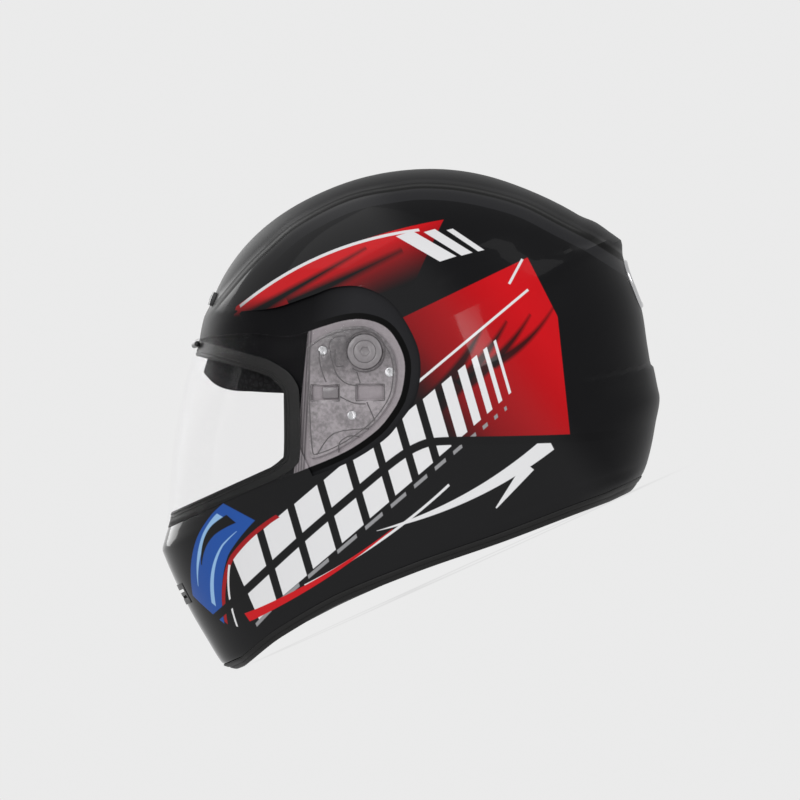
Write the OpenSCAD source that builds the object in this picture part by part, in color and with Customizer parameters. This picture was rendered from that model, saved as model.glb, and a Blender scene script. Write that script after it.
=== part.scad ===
// Full face motorcycle helmet with a clear visor, standing on its bottom rim.
// Millimetres. +X is the rider's left, +Y is the back of the head, +Z is up.
// The origin is below the middle of the helmet, on the surface that it stands on.

/* [Shell form] */
// Height of the crown above the bottom rim
crown_h = 258.3; // [250:0.1:268]
// Height of the widest section
widest_h = 140; // [134:1:146]
// Distance of the widest section behind the origin
widest_y = 13; // [8:1:18]
// Half of the shell's greatest width
half_w = 123.5; // [119:0.5:128]
// Reach of the chin in front of the widest section
front_reach = 187.4; // [182:0.1:192]
// Reach of the back behind the widest section
rear_reach = 162.3; // [157:0.1:167]
// Power of the dome's curve, where 2 is an ellipse
dome_power = 2.15; // [2.05:0.05:2.3]
// Power of the level sections' curve, where 2 is an ellipse
section_power = 2.25; // [2.1:0.05:2.4]
// Thickness of the shell
shell_t = 4.5; // [4:0.1:5.5]

/* [Bottom rim] */
// Rise of the bottom edge in the middle of each side
arch_rise = 11.9; // [8:0.1:14]
// Thickness of the rubber below the shell's edge
trim_base = 2; // [1.5:0.1:3]
// Height of the rubber's lips
trim_h = 6; // [5:0.1:8]
// Thickness of the rubber's lips
trim_lip = 1.2; // [0.8:0.1:1.6]

/* [Visor] */
// Distance of the visor's pivot axis behind the origin
pivot_y = -3.1; // [-5:0.1:-1]
// Height of the visor's pivot axis
pivot_z = 151.5; // [150:0.1:153]
// Thickness of the visor
visor_t = 2.2; // [1.8:0.1:2.6]
// Space between the visor and the shell's outer form
visor_gap = 0.9; // [0.8:0.1:1.2]
// Depth of the seat that the shell has round each side of the visor
seat_depth = 2.4; // [2.2:0.1:2.8]
// Radius of the fixed hub that the visor turns on
hub_r = 7; // [6:0.1:8]
// Radial play between the hub and the visor's ring
hub_play = 0.06; // [0.03:0.01:0.1]
// Outer radius of the visor's ring
ring_r = 11; // [10:0.1:12]
// Length of the lift tab along the side
tab_l = 22; // [16:1:26]

/* [Padding] */
// Thickness of the foam liner
foam_t = 28; // [24:0.5:30]
// Thickness of the comfort liner
comfort_t = 8; // [6:0.5:9]
// Thickness of the foam in the chin bar
chin_foam_t = 17; // [12:0.5:20]
// Thickness of a cheek pad
cheek_t = 37; // [30:0.5:40]
// Thickness of the neck roll
neck_t = 18; // [14:0.5:20]

/* [Vents] */
// Width of the brow vent
brow_vent_w = 52; // [50:1:58]
// Width of the chin vent
chin_vent_w = 62; // [54:1:68]
// Height of the chin vent
chin_vent_h = 18; // [17:0.5:20]
// Width of the rear exhaust's ring
exhaust_w = 52; // [46:1:58]
// Height of the rear exhaust's ring
exhaust_h = 33; // [30:1:36]

/* [Chin strap] */
// Width of the strap
strap_w = 22; // [20:0.5:25]
// Thickness of the strap
strap_t = 2; // [1.6:0.1:2.4]
// Length of the buckle's channel
buckle_l = 34; // [32:1:38]

/* [Hidden] */

// Space kept between pieces that don't move against each other
seat = 0.05;
// Space kept between soft pieces and what carries them, and round pieces that move
clear = 0.3;
// Length that cutters run past what they cut
over = 1;
// Far outside the helmet, for cutting prisms
far = 230;

// Shares of front_reach, by height
front_shape = [[0, 0.928], [8, 0.97], [24, 0.982], [48, 0.995], [72, 1], [88, 0.998], [96, 0.969],
    [106, 0.923], [120, 0.88], [140, 0.822], [160, 0.763], [180, 0.71], [200, 0.67], [220, 0.667], [258, 0.672]];
// Shares of rear_reach, by height
rear_shape = [[0, 0.628], [8, 0.709], [16, 0.755], [32, 0.826], [50, 0.893], [64, 0.903], [80, 0.927],
    [104, 0.967], [120, 0.98], [140, 0.983], [150, 1], [158, 0.982], [176, 0.939], [208, 0.877],
    [240, 0.835], [258, 0.783]];
// Shares of half_w, by height
side_shape = [[0, 0.785], [20, 0.842], [40, 0.887], [60, 0.923], [80, 0.955], [100, 0.98], [125, 1], [140, 1.001],
    [155, 1.008], [170, 1.02], [185, 1.032], [210, 1.045], [258, 1.05]];
// Shares of arch_rise along the side, by distance behind the origin
arch_shape = [[-156, 0], [-125, 0.65], [-78, 1], [-34, 0.86], [31, 0.39], [75, 0.16], [100, 0]];

// A smooth curve through a list of [place, value]
function slope(t, i) = (t[i + 1][1] - t[i][1]) / (t[i + 1][0] - t[i][0]);
function bend(t, i) = i == 0 ? slope(t, 0) : i == len(t) - 1 ? slope(t, i - 1)
    : let(a = slope(t, i - 1), b = slope(t, i)) a * b > 0 ? 2 * a * b / (a + b) : 0;
function span(t, v, i = 0) = i >= len(t) - 2 || v < t[i + 1][0] ? i : span(t, v, i + 1);
function curve(t, v) =
    let(w = max(t[0][0], min(t[len(t) - 1][0], v)), i = span(t, w),
        h = t[i + 1][0] - t[i][0], s = (w - t[i][0]) / h)
    t[i][1] * (1 + 2 * s) * pow(1 - s, 2) + bend(t, i) * h * s * pow(1 - s, 2)
    + t[i + 1][1] * s * s * (3 - 2 * s) + bend(t, i + 1) * h * s * s * (s - 1);

// A smooth line through points, with some points added between each two
function flow(p, n = 3) = let(m = len(p) - 1)
    [for (i = [0 : m - 1], k = [0 : n - 1])
        let(s = k / n, a = p[max(i - 1, 0)], b = p[i], c = p[i + 1], d = p[min(i + 2, m)])
        0.5 * (2 * b + (c - a) * s + (2 * a - 5 * b + 4 * c - d) * s * s + (3 * b - a - 3 * c + d) * s * s * s),
     p[m]];

// The helmet's form: a level section at height z is a superellipse, and d moves the whole form outwards
function front(z, d) = front_reach * curve(front_shape, z) + d;
function rear(z, d) = rear_reach * curve(rear_shape, z) + d;
function side(z, d) = half_w * curve(side_shape, z) + d;
function dome(z, d) = let(t = (z - widest_h) / (crown_h + d - widest_h))
    t <= 0 ? 1 : t >= 1 ? 0 : pow(1 - pow(t, dome_power), 1 / dome_power);
function form(a, z, d) = let(e = dome(z, d), q = 2 / section_power)
    [side(z, d) * e * sign(cos(a)) * pow(abs(cos(a)), q),
     widest_y + (sin(a) < 0 ? front(z, d) : rear(z, d)) * e * sign(sin(a)) * pow(abs(sin(a)), q), z];
// Half width of the form at a point of the side view
function form_x(y, z, d) =
    let(f = y < widest_y ? front(z, d) : rear(z, d), t = abs(y - widest_y) / f)
    side(z, d) * pow(max(0, pow(dome(z, d), section_power) - pow(t, section_power)), 1 / section_power);
function front_y(z, d) = widest_y - front(z, d) * dome(z, d);
function rear_y(z, d) = widest_y + rear(z, d) * dome(z, d);
function arch(y) = arch_rise * curve(arch_shape, y);

// Heights where the form's curves bend: a sheet has rows there, and by angle above the last one,
// drawn down towards its own crown
fine_rows = [0, 8, 16, 24, 32, 41, 50, 57, 64, 72, 80, 88, 96, 106, 120, 130, 140, 150, 158];
plain_rows = [0, 16, 32, 50, 72, 88, 106, 120, 140, 158];
dome_steps = 9;
dome_foot = 158;
function rows_of(d, lo, hi, keys, steps) =
    let(r = crown_h - widest_h, a = asin((dome_foot - widest_h) / r), whole = hi >= crown_h,
        rows = concat(keys, [for (i = [1 : steps - 1]) widest_h + r * sin(a + (90 - a) * i / steps)]))
    concat([lo],
        [for (z = rows) if (z > lo + 1 && z < hi - 1)
            z + (whole && z > dome_foot ? d * pow((z - dome_foot) / (crown_h - dome_foot), 2) : 0)],
        whole ? [] : [hi]);

// A closed sheet between two distances from the form, over some heights and angles
module sheet(out, inn, lo, hi, from = 0, to = 360, cols = 60, keys = plain_rows, steps = dome_steps) {
    ring = to - from == 360;
    cap = hi >= crown_h;
    c = ring ? cols : cols + 1;
    cells = cols - 1;
    out_rows = rows_of(out, lo, hi, keys, steps);
    inn_rows = rows_of(inn, lo, hi, keys, steps);
    n = len(out_rows);
    k = n * c + (cap ? 1 : 0);
    t = n - 1;
    points = concat(
        [for (z = out_rows, j = [0 : c - 1]) form(from + (to - from) * j / cols, z, out)],
        cap ? [[0, widest_y, crown_h + out]] : [],
        [for (z = inn_rows, j = [0 : c - 1]) form(from + (to - from) * j / cols, z, inn)],
        cap ? [[0, widest_y, crown_h + inn]] : []);
    faces = [
        for (i = [0 : 1 : n - 2], j = [0 : cells]) let(o = i * c, j2 = (j + 1) % c) each [
            [o + j, o + c + j, o + c + j2], [o + j, o + c + j2, o + j2],
            [k + o + j, k + o + c + j2, k + o + c + j], [k + o + j, k + o + j2, k + o + c + j2]],
        for (j = [0 : cells]) let(j2 = (j + 1) % c) each [
            [j, j2, k + j2], [j, k + j2, k + j],
            if (!cap) [t * c + j2, t * c + j, k + t * c + j],
            if (!cap) [t * c + j2, k + t * c + j, k + t * c + j2],
            if (cap) [t * c + j, n * c, t * c + j2],
            if (cap) [k + t * c + j, k + t * c + j2, k + n * c]],
        if (!ring) for (i = [0 : 1 : n - 2]) let(o = i * c, l = i * c + c - 1) each [
            [o + c, o, k + o], [o + c, k + o, k + o + c],
            [l, l + c, k + l + c], [l, k + l + c, k + l]]
    ];
    polyhedron(points, faces, convexity = 8);
}

// A solid with rings of points along it, either closed into a loop or with flat ends
module rings_solid(rings, loop = false) {
    n = len(rings);
    c = len(rings[0]);
    m = loop ? n : n - 1;
    ends = [for (r = [rings[0], rings[n - 1]]) [for (j = [0 : c - 1]) 1 / c] * r];
    faces = [
        for (i = [0 : m - 1], j = [0 : c - 1])
            let(p = i * c, q = ((i + 1) % n) * c, j2 = (j + 1) % c) each [[p + j, q + j, q + j2], [p + j, q + j2, p + j2]],
        if (!loop) for (j = [0 : c - 1]) let(j2 = (j + 1) % c, t = (n - 1) * c)
            each [[j, j2, n * c], [t + j2, t + j, n * c + 1]]
    ];
    polyhedron(concat([for (r = rings) each r], loop ? [] : ends), faces, convexity = 6);
}

// A prism across the helmet, or over its left side, from an outline in the side view
module side_prism(outline, left_only = false) {
    translate([left_only ? 0 : -far, 0, 0])
        rotate([90, 0, 90]) linear_extrude(left_only ? far : 2 * far) polygon(outline);
}

module both_sides() {
    children();
    mirror([1, 0, 0]) children();
}

// A plate with round ends, flat in XY and centred
module stadium(w, h, t) {
    r = h / 2;
    translate([0, 0, -t / 2]) {
        translate([-w / 2 + r, -r, 0]) cube([w - h, h, t]);
        for (x = [-1, 1]) translate([x * (w / 2 - r), 0, 0]) cylinder(r = r, h = t, $fn = 48);
    }
}

// Height of a place on the dome, by its share of the way from the widest section to the crown
function rise(share) = widest_h + share * (crown_h - widest_h);

// Outline of the eye port, in the side view
port_low = 106;
port_high = rise(0.4818);
port_line = concat([[-far, port_low], [-86, port_low]],
    flow([[-86, 106], [-78, 108], [-73, 113], [-59.5, 143], [-57.5, 150], [-59.5, 158], [-66, rise(0.2367)]]),
    [[-100, port_high], [-far, port_high]]);
// Outline of the visor, in the side view: above the pivot it grows with the port's height
visor_top = rise(0.5325);
visor_low = 104.7;
pod_grow = (visor_top - pivot_z) / 51.5;
visor_side = [[-94, 202.9], [-65.4, 192.2], [-46.1, 181.5], [-36.8, 178.5], [-23, 177.3], [-6.6, 174.8], [5.3, 170.1],
    [15.1, 160.8], [18.5, 148], [16.8, 133.3], [6.6, 116.9], [-5.1, 108.1], [-18.3, 102.2], [-41.1, 98.4],
    [-72.4, 99.2], [-99.4, 101.5], [-126.7, 103.3]];
visor_line = concat([[-far, visor_top], [-95, visor_top]],
    flow([for (p = visor_side) [p[0], p[1] > pivot_z ? pivot_z + (p[1] - pivot_z) * pod_grow : p[1]]], 2),
    [[-far, visor_low]]);
// Outline of the seat that the visor's side sinks into when it turns
seat_line = flow([[-66, 208], [-44, 200.5], [-20, 198], [-3, 196.5], [13, 189], [25, 173], [29, 150],
    [26.5, 131], [15, 112], [-2, 101], [-16, 95], [-41, 91.5], [-66, 93]], 2);
// Outline of a base plate, in the side view
plate_line = flow([[-35, 170], [-23, 172], [-5, 169.8], [6.5, 163.5], [12.3, 151], [12, 137], [3.5, 121], [-8, 112],
    [-22, 106], [-42, 102.5], [-59, 103], [-61, 108], [-48.5, 140], [-42.5, 153], [-35, 170]], 2);

// Tilt of the base plate's slots, and the middles of the slots
slot_tilt = -24.3;
release_at = [-36.7, 138];
latch_at = [-10.5, 126.5];
slot_size = [17, 9.5];
plate_sink = 0.3;
plate_t = seat_depth - plate_sink - seat;
pivot_x = form_x(pivot_y, pivot_z, 0);

module outer_shell() color([0.08, 0.08, 0.09]) {
    difference() {
        sheet(0, -shell_t, 0, crown_h, keys = fine_rows);
        side_prism(port_line);
        side_prism(rim_band(-arch_rise - over, trim_base));
        intersection() {
            both_sides() sheet(6, -seat_depth, 88, 214, -48, 24, cols = 12);
            side_prism(seat_line);
        }
        both_sides() {
            translate([hub_foot - seat, pivot_y, pivot_z]) rotate([0, 90, 0])
                cylinder(r = hub_r + seat, h = far, $fn = 64);
            for (p = screw_places) translate([half_w / 2, p[0], p[1]]) rotate([0, 90, 0])
                cylinder(r = screw_shank + seat, h = far, $fn = 32);
            translate([anchor_x - over, anchor_y, rivet_z]) rotate([0, 90, 0])
                cylinder(r = rivet_r + seat, h = rivet_in + over + seat, $fn = 32);
        }
        at_brow() cube([brow_vent_w - 4, brow_vent_h, 30], center = true);
        at_chin() cube([chin_vent_w - 6, chin_vent_h - 4, 30], center = true);
        at_exhaust() stadium(exhaust_w - 8, exhaust_h - 8, 40);
    }
}

// A band between two heights over the arched bottom edge, in the side view
function rim_band(lo, hi) = let(ys = [for (y = [-156 : 8 : 100]) y], n = len(ys) - 1) concat(
    [[-far, lo]], [for (y = ys) [y, arch(y) + lo]], [[far, lo], [far, hi]],
    [for (i = [n : -1 : 0]) [ys[i], arch(ys[i]) + hi]], [[-far, hi]]);

// The rubber U profile along the bottom edge
module bottom_trim() color([0.05, 0.05, 0.05]) difference() {
    intersection() {
        sheet(trim_lip, -shell_t - trim_lip, 0, 24, keys = fine_rows);
        side_prism(rim_band(0, trim_h));
    }
    intersection() {
        sheet(seat, -shell_t - seat, 0, 24, keys = fine_rows);
        side_prism(rim_band(trim_base, trim_h + over));
    }
}

// The rubber seal round the eye port
gasket_w = 7;
gasket_in = 3;
gasket_lip = 3;
module eyeport_gasket() color([0.06, 0.06, 0.06]) {
    outer = concat([[-far, port_low - gasket_w + 2], [-86, port_low - gasket_w + 2]],
        flow([[-86, 101], [-74, 103], [-67, 110], [-53, 142], [-51, 150], [-53, 160], [-61, 172]]),
        [[-97, port_high + gasket_w - 2], [-far, port_high + gasket_w - 2]]);
    inner = concat([[-far, port_low + gasket_in], [-88, port_low + gasket_in]],
        flow([[-88, 109], [-80, 111], [-76, 115], [-63, 144], [-61, 150], [-63, 157], [-69, 166]]),
        [[-103, port_high - gasket_in], [-far, port_high - gasket_in]]);
    difference() {
        sheet(visor_gap - clear - 0.2, -shell_t - gasket_lip, 96, port_high + 9, -198, 18, cols = 36, keys = fine_rows);
        side_prism(concat([[-far, 0]], [for (p = outer) p], [[-far, 300], [far, 300], [far, 0]]));
        side_prism(inner);
        difference() {
            sheet(seat, -shell_t - seat, 88, 214, -198, 18, cols = 36, keys = fine_rows);
            side_prism(port_line);
        }
    }
}

// The hard foam that takes up the knock
foam_out = -shell_t - 2 * clear;
brow_edge = flow([[-107, rise(0.6086)], [-106, rise(0.45)], [-103.4, rise(0.376)], [-99, rise(0.273)],
    [-91, rise(0.205)], [-80.5, rise(0.158)], [-70, rise(0.112)], [-60, rise(0.07)]], 3);
foam_line = concat(brow_edge, [[-46, 144], [-46, 114], [33, 114],
    [35, 42], [far, 42], [far, crown_h + 42], [-107, crown_h + 42]]);
foam_rows = [0, 16, 32, 50, 57, 64, 80, 106, 122, 140, 158];
module foam_liner() color([0.2, 0.2, 0.21]) difference() {
    intersection() {
        sheet(foam_out, foam_out - foam_t, 36, crown_h, cols = 48, keys = foam_rows, steps = 8);
        side_prism(foam_line);
    }
    intersection() {
        sheet(over, -shell_t - gasket_lip - 1, 96, port_high + gasket_w + 6, -186, 6, cols = 16);
        side_prism([[-far, 90], [-far, port_high + gasket_w + 4], [-80, port_high + gasket_w + 4], [-46, 172], [-46, 90]]);
    }
    at_brow() cube([brow_vent_w, brow_vent_h + 3, 24], center = true);
    at_exhaust() stadium(exhaust_w, exhaust_h, 2 * exhaust_deep + 2);
}

module chin_foam() color([0.2, 0.2, 0.21]) difference() {
    sheet(foam_out, foam_out - chin_foam_t, 19, 97, -144, -36, cols = 18);
    at_chin() cube([chin_vent_w + 2, chin_vent_h + 2, 2 * chin_deep + 10], center = true);
}

// The fabric liner that the head rests in
comfort_out = foam_out - foam_t - 3 * clear;
comfort_line = [[-100, rise(0.5748)], [-100, rise(0.39)], [-96, rise(0.287)], [-88, rise(0.222)], [-78, rise(0.179)],
    [-60, rise(0.098)], [-43, 147], [-43, 122], [38, 122], [40, 56], [far, 56], [far, crown_h + 42],
    [-100, crown_h + 42]];
module comfort_liner() color([0.16, 0.16, 0.17]) intersection() {
    sheet(comfort_out, comfort_out - comfort_t, 50, crown_h, cols = 40, steps = 7);
    side_prism(comfort_line);
}

// A crowned pad beside the cheek: its outline is in the side view and its layers step inwards
cheek_y = -31;
cheek_z = 72;
cheek_half = [59, 38];
cheek_out = -13;
module cheek_pad() {
    stations = 28;
    power = 0.7;
    layers = [[0.86, 0], [0.95, 1.5], [1, 5], [1, 16], [0.97, 24], [0.9, 30], [0.76, 34], [0.52, 36.4], [0.25, 37]];
    rings_solid([for (l = layers) [for (j = [0 : stations - 1])
        let(a = -360 * j / stations,
            y = cheek_y + cheek_half[0] * l[0] * sign(cos(a)) * pow(abs(cos(a)), power),
            z = cheek_z + cheek_half[1] * l[0] * sign(sin(a)) * pow(abs(sin(a)), power))
        [form_x(y, z, cheek_out - l[1] * cheek_t / 37), y, z]]]);
}
module cheek_pad_left() color([0.15, 0.15, 0.16]) cheek_pad();
module cheek_pad_right() color([0.15, 0.15, 0.16]) mirror([1, 0, 0]) cheek_pad();

// Snap studs between the shell and the pads
stud_places = [[-56, 54], [-56, 90], [4, 84]];
stud_r = 6;
module cheek_pad_studs() color([0.3, 0.3, 0.3]) both_sides() for (p = stud_places) {
    x_out = form_x(p[0] - stud_r, p[1] - stud_r, -shell_t) - seat;
    x_in = form_x(p[0] + stud_r, p[1] + stud_r, cheek_out) + clear;
    translate([x_in, p[0], p[1]]) rotate([0, 90, 0]) cylinder(r = stud_r, h = x_out - x_in, $fn = 32);
}

// The padded roll round the neck
module neck_roll() color([0.15, 0.15, 0.16]) {
    stations = 26;
    sides = 10;
    roll_z = 27;
    roll_h = 14.6;
    mid = -shell_t - clear - neck_t / 2;
    rings_solid([for (i = [0 : stations])
        let(a = 12 + 156 * i / stations, e = i == 0 || i == stations ? 0.75 : 1)
        [for (j = [0 : sides - 1])
            let(b = -360 * j / sides)
            form(a, roll_z + roll_h * e * sin(b), mid + neck_t / 2 * e * cos(b))]]);
}

// The cloth flap below the chin
curtain_z = 12.5;
function curtain_edge(a) = -shell_t - clear
    - (curtain_z > arch(form(a, curtain_z, 0)[1] + 8) + trim_h + clear ? 0 : trim_lip);
module chin_curtain() color([0.1, 0.1, 0.1]) {
    curtain_t = 1.2;
    back = -104;
    translate([0, 0, curtain_z]) linear_extrude(curtain_t)
        polygon(concat(
            [for (a = [-150 : 3 : -30]) let(p = form(a, curtain_z, curtain_edge(a))) if (p[1] < back) [p[0], p[1]]],
            [for (a = [0 : 10 : 180]) [58 * cos(a), back - 20 * sin(a)]]));
}

// The breath guard above the chin bar
guard_low = 80;
guard_high = 104.5;
module breath_guard() color([0.05, 0.05, 0.05]) difference() {
    sheet(foam_out - chin_foam_t - clear, foam_out - chin_foam_t - clear - 1.8, guard_low, guard_high, -112, -68,
        cols = 12);
    for (s = [-1, 1]) translate([s * 45, -140, guard_high + 6]) rotate([90, 0, 0]) cylinder(r = 22, h = 60, center = true, $fn = 48);
}

// The curved plate that carries the visor's pivot, its slots and its detents
module turned_slot(at, grow = 0, depth = far) {
    translate([0, at[0], at[1]]) rotate([slot_tilt, 0, 0])
        translate([0, -slot_size[0] / 2 - grow, -slot_size[1] / 2 - grow])
        cube([depth, slot_size[0] + 2 * grow, slot_size[1] + 2 * grow]);
}
module detent_arc(r_in, r_out, from, to) {
    rotate([90, 0, 90]) rotate([0, 0, from]) rotate_extrude(angle = to - from, $fn = 96)
        translate([r_in, 0]) square([r_out - r_in, far]);
}
module visor_base() {
    difference() {
        intersection() {
            sheet(-plate_sink, -plate_sink - plate_t, 100, 178, -42, 18, cols = 10);
            side_prism(plate_line);
        }
        translate([0, pivot_y, pivot_z]) {
            rotate([0, 90, 0]) cylinder(r = ring_r + clear, h = far, $fn = 64);
            detent_arc(24, 28.5, 150, 205);
            for (i = [0 : 5]) detent_arc(ring_r + 2.2, ring_r + 3.8, 215 + 16 * i, 225 + 16 * i);
        }
        for (p = [release_at, latch_at]) turned_slot(p);
        for (p = screw_places) translate([0, p[0], p[1]]) rotate([0, 90, 0]) cylinder(r = screw_r + seat, h = far, $fn = 32);
    }
}
module visor_base_left() color([0.62, 0.6, 0.6]) visor_base();
module visor_base_right() color([0.62, 0.6, 0.6]) mirror([1, 0, 0]) visor_base();

// The fixed hub that the visor's ring turns on
hub_foot = min([for (s = [-1, 1]) form_x(pivot_y - hub_r, pivot_z + s * hub_r, -seat_depth)]);
hub_l = pivot_x + visor_gap + visor_t + 0.3 - hub_foot;
module pivot_hub() translate([hub_foot, pivot_y, pivot_z]) rotate([0, 90, 0]) difference() {
    cylinder(r = hub_r, h = hub_l, $fn = 64);
    translate([0, 0, hub_l - 1]) cylinder(r = 3.2, h = 2, $fn = 6);
}
module pivot_hub_left() color([0.55, 0.54, 0.54]) pivot_hub();
module pivot_hub_right() color([0.55, 0.54, 0.54]) mirror([1, 0, 0]) pivot_hub();

// Screws that hold the base plates
screw_places = [[-27, 163], [6, 133], [-27, 118]];
screw_r = 3;
screw_shank = 1.5;
screw_in = 1.6;
module base_plate_screws() color([0.5, 0.5, 0.5]) both_sides() for (p = screw_places) {
    side = p[1] > widest_h ? screw_r : -screw_r;
    foot = form_x(p[0] + screw_r, p[1] - side, -seat_depth) + seat;
    head_t = form_x(p[0] - screw_r, p[1] + side, -plate_sink) - foot;
    translate([foot, p[0], p[1]]) rotate([0, 90, 0]) difference() {
        union() {
            translate([0, 0, -screw_in]) cylinder(r = screw_shank, h = screw_in + head_t / 2, $fn = 32);
            cylinder(r = screw_r, h = head_t, $fn = 32);
        }
        translate([0, 0, head_t]) cube([4.2, 0.9, head_t], center = true);
    }
}

// The visor: a clear curved shield, its two hard rings and its lift tab
module visor_shield() color([0.8, 0.8, 0.82, 0.35]) difference() {
    intersection() {
        sheet(visor_gap + visor_t, visor_gap, 94, visor_top + 3, -198, 18, cols = 48);
        side_prism(visor_line);
    }
    translate([0, pivot_y, pivot_z]) rotate([0, 90, 0]) cylinder(r = ring_r, h = 2 * far, center = true, $fn = 64);
}
module visor_ring() {
    low = max([for (s = [-1, 0, 1]) form_x(pivot_y + ring_r, pivot_z + s * ring_r, -seat_depth)]) + clear;
    translate([low, pivot_y, pivot_z]) rotate([0, 90, 0]) difference() {
        cylinder(r = ring_r, h = pivot_x + visor_gap + visor_t - low, $fn = 64);
        translate([0, 0, -over]) cylinder(r = hub_r + hub_play, h = 30, $fn = 64);
    }
}
module visor_ring_left() color([0.6, 0.58, 0.58]) visor_ring();
module visor_ring_right() color([0.6, 0.58, 0.58]) mirror([1, 0, 0]) visor_ring();

tab_proud = 4.5;
module visor_lift_tab() color([0.75, 0.75, 0.77]) {
    tab_y = -144;
    tab_out = visor_gap + visor_t;
    intersection() {
        sheet(tab_out + tab_proud, tab_out - visor_t / 2, 99.5, 103.2, -82, -40, cols = 14);
        side_prism([[tab_y - tab_l / 2, 90], [tab_y - tab_l / 2, 110], [tab_y + tab_l / 2, 110], [tab_y + tab_l / 2, 90]],
            left_only = true);
    }
}

// The sprung tab in the base plate that lets the visor off
release_size = [10, 7];
module release_tab() {
    intersection() {
        sheet(-plate_sink, -seat_depth + clear, 120, 156, -36, 0, cols = 6);
        translate([0, release_at[0], release_at[1]]) rotate([slot_tilt, 0, 0])
            translate([0, slot_size[0] / 2 - clear - release_size[0], -release_size[1] / 2])
            cube([far, release_size[0], release_size[1]]);
    }
}
module release_tab_left() color([0.7, 0.68, 0.68]) release_tab();
module release_tab_right() color([0.7, 0.68, 0.68]) mirror([1, 0, 0]) release_tab();

// Places for the vents: X across, Y up the surface, Z outwards
brow_z = rise(0.71);
module at_brow() {
    a = atan2(front_y(brow_z + 4, 0) - front_y(brow_z - 4, 0), 8);
    translate([0, front_y(brow_z, 0), brow_z]) rotate([90 - a, 0, 0]) children();
}
chin_z = 58;
module at_chin() {
    translate([0, front_y(chin_z, 0), chin_z]) rotate([90, 0, 0]) children();
}
exhaust_z = 120.5;
module at_exhaust() {
    translate([0, rear_y(exhaust_z, 0), exhaust_z]) rotate([-90, 0, 0]) children();
}

// The brow vent: a flush housing with two slots, and a shutter plate that slides behind them
brow_vent_h = 9;
brow_slot = [5, 4];
brow_pitch = 12;
brow_travel = 6;
brow_deep = 10;
brow_plate = [2 * brow_pitch + brow_slot[0] + 2 * brow_travel - 4, 6, 2.4];
brow_plate_z = -5.4;
brow_nub = [6, 2.4];
module brow_vent_housing() color([0.12, 0.12, 0.12]) difference() {
    intersection() {
        sheet(0.3, -brow_deep - 2, brow_z - 18, brow_z + 16, -120, -60, cols = 10);
        at_brow() translate([0, 0, 1.5 - brow_deep / 2])
            cube([brow_vent_w - 4 - 2 * seat, brow_vent_h - 2 * seat, brow_deep], center = true);
    }
    at_brow() {
        for (s = [-1, 1]) translate([s * brow_pitch, 0.4, -3]) cube([brow_slot[0], brow_slot[1], 20], center = true);
        translate([0, 0, brow_plate_z])
            cube([brow_plate[0] + brow_travel + 2 * clear, brow_plate[1] + 2 * clear, brow_plate[2] + 2 * clear],
                center = true);
        cube([brow_nub[0] + brow_travel + 2 * clear, brow_nub[1] + 2 * clear, 20], center = true);
    }
}
module brow_vent_slider() color([0.3, 0.3, 0.3]) at_brow() translate([-brow_travel / 2, 0, 0]) {
    difference() {
        translate([0, 0, brow_plate_z]) cube(brow_plate, center = true);
        for (s = [-1, 1]) translate([s * brow_pitch + brow_travel / 2, 0.4, brow_plate_z])
            cube([brow_slot[0], brow_slot[1] - 0.6, 6], center = true);
    }
    translate([0, 0, brow_plate_z / 2]) cube([brow_nub[0], brow_nub[1], -brow_plate_z], center = true);
}

// The chin vent: a grille with two long slots and a shutter with two bars that moves behind it
chin_slot_h = 2;
chin_pitch = 4.2;
chin_travel = chin_pitch / 2;
chin_bar_h = chin_slot_h + 0.2;
chin_deep = 13;
chin_shutter_z = -9;
chin_shutter_t = 1.6;
chin_tab = [4.4, 3.2];
chin_in = [chin_vent_w - 6 - 2 * seat, chin_vent_h - 4 - 2 * seat];
chin_shutter_size = [chin_in[0] - 4 - 2 * clear, chin_pitch + chin_bar_h, chin_shutter_t];
module chin_vent_grille() color([0.1, 0.1, 0.1]) difference() {
    intersection() {
        sheet(0.6, -chin_deep, chin_z - 11, chin_z + 11, -108, -72, cols = 6);
        at_chin() cube([chin_in[0], chin_in[1], 2 * chin_deep + 6], center = true);
    }
    for (s = [-1, 1]) at_chin() translate([0, s * chin_pitch / 2, 0])
        cube([chin_in[0] - 5, chin_slot_h, 60], center = true);
    at_chin() translate([0, -chin_travel / 2, chin_shutter_z])
        cube(chin_shutter_size + [2, 2, 2] * clear + [0, chin_travel, 0], center = true);
    at_chin() translate([0, -chin_travel / 2, 0])
        cube([chin_tab[0] + 2 * clear, chin_tab[1] + chin_travel + 2 * clear, -2 * chin_shutter_z], center = true);
}
module chin_vent_shutter() color([0.25, 0.25, 0.25]) at_chin() translate([0, -chin_travel, 0]) {
    difference() {
        translate([0, 0, chin_shutter_z]) cube(chin_shutter_size, center = true);
        cube([chin_shutter_size[0] - 6, chin_pitch - chin_bar_h, 60], center = true);
    }
    translate([0, 0, chin_shutter_z / 2]) cube([chin_tab[0], chin_tab[1], -chin_shutter_z], center = true);
}

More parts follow.
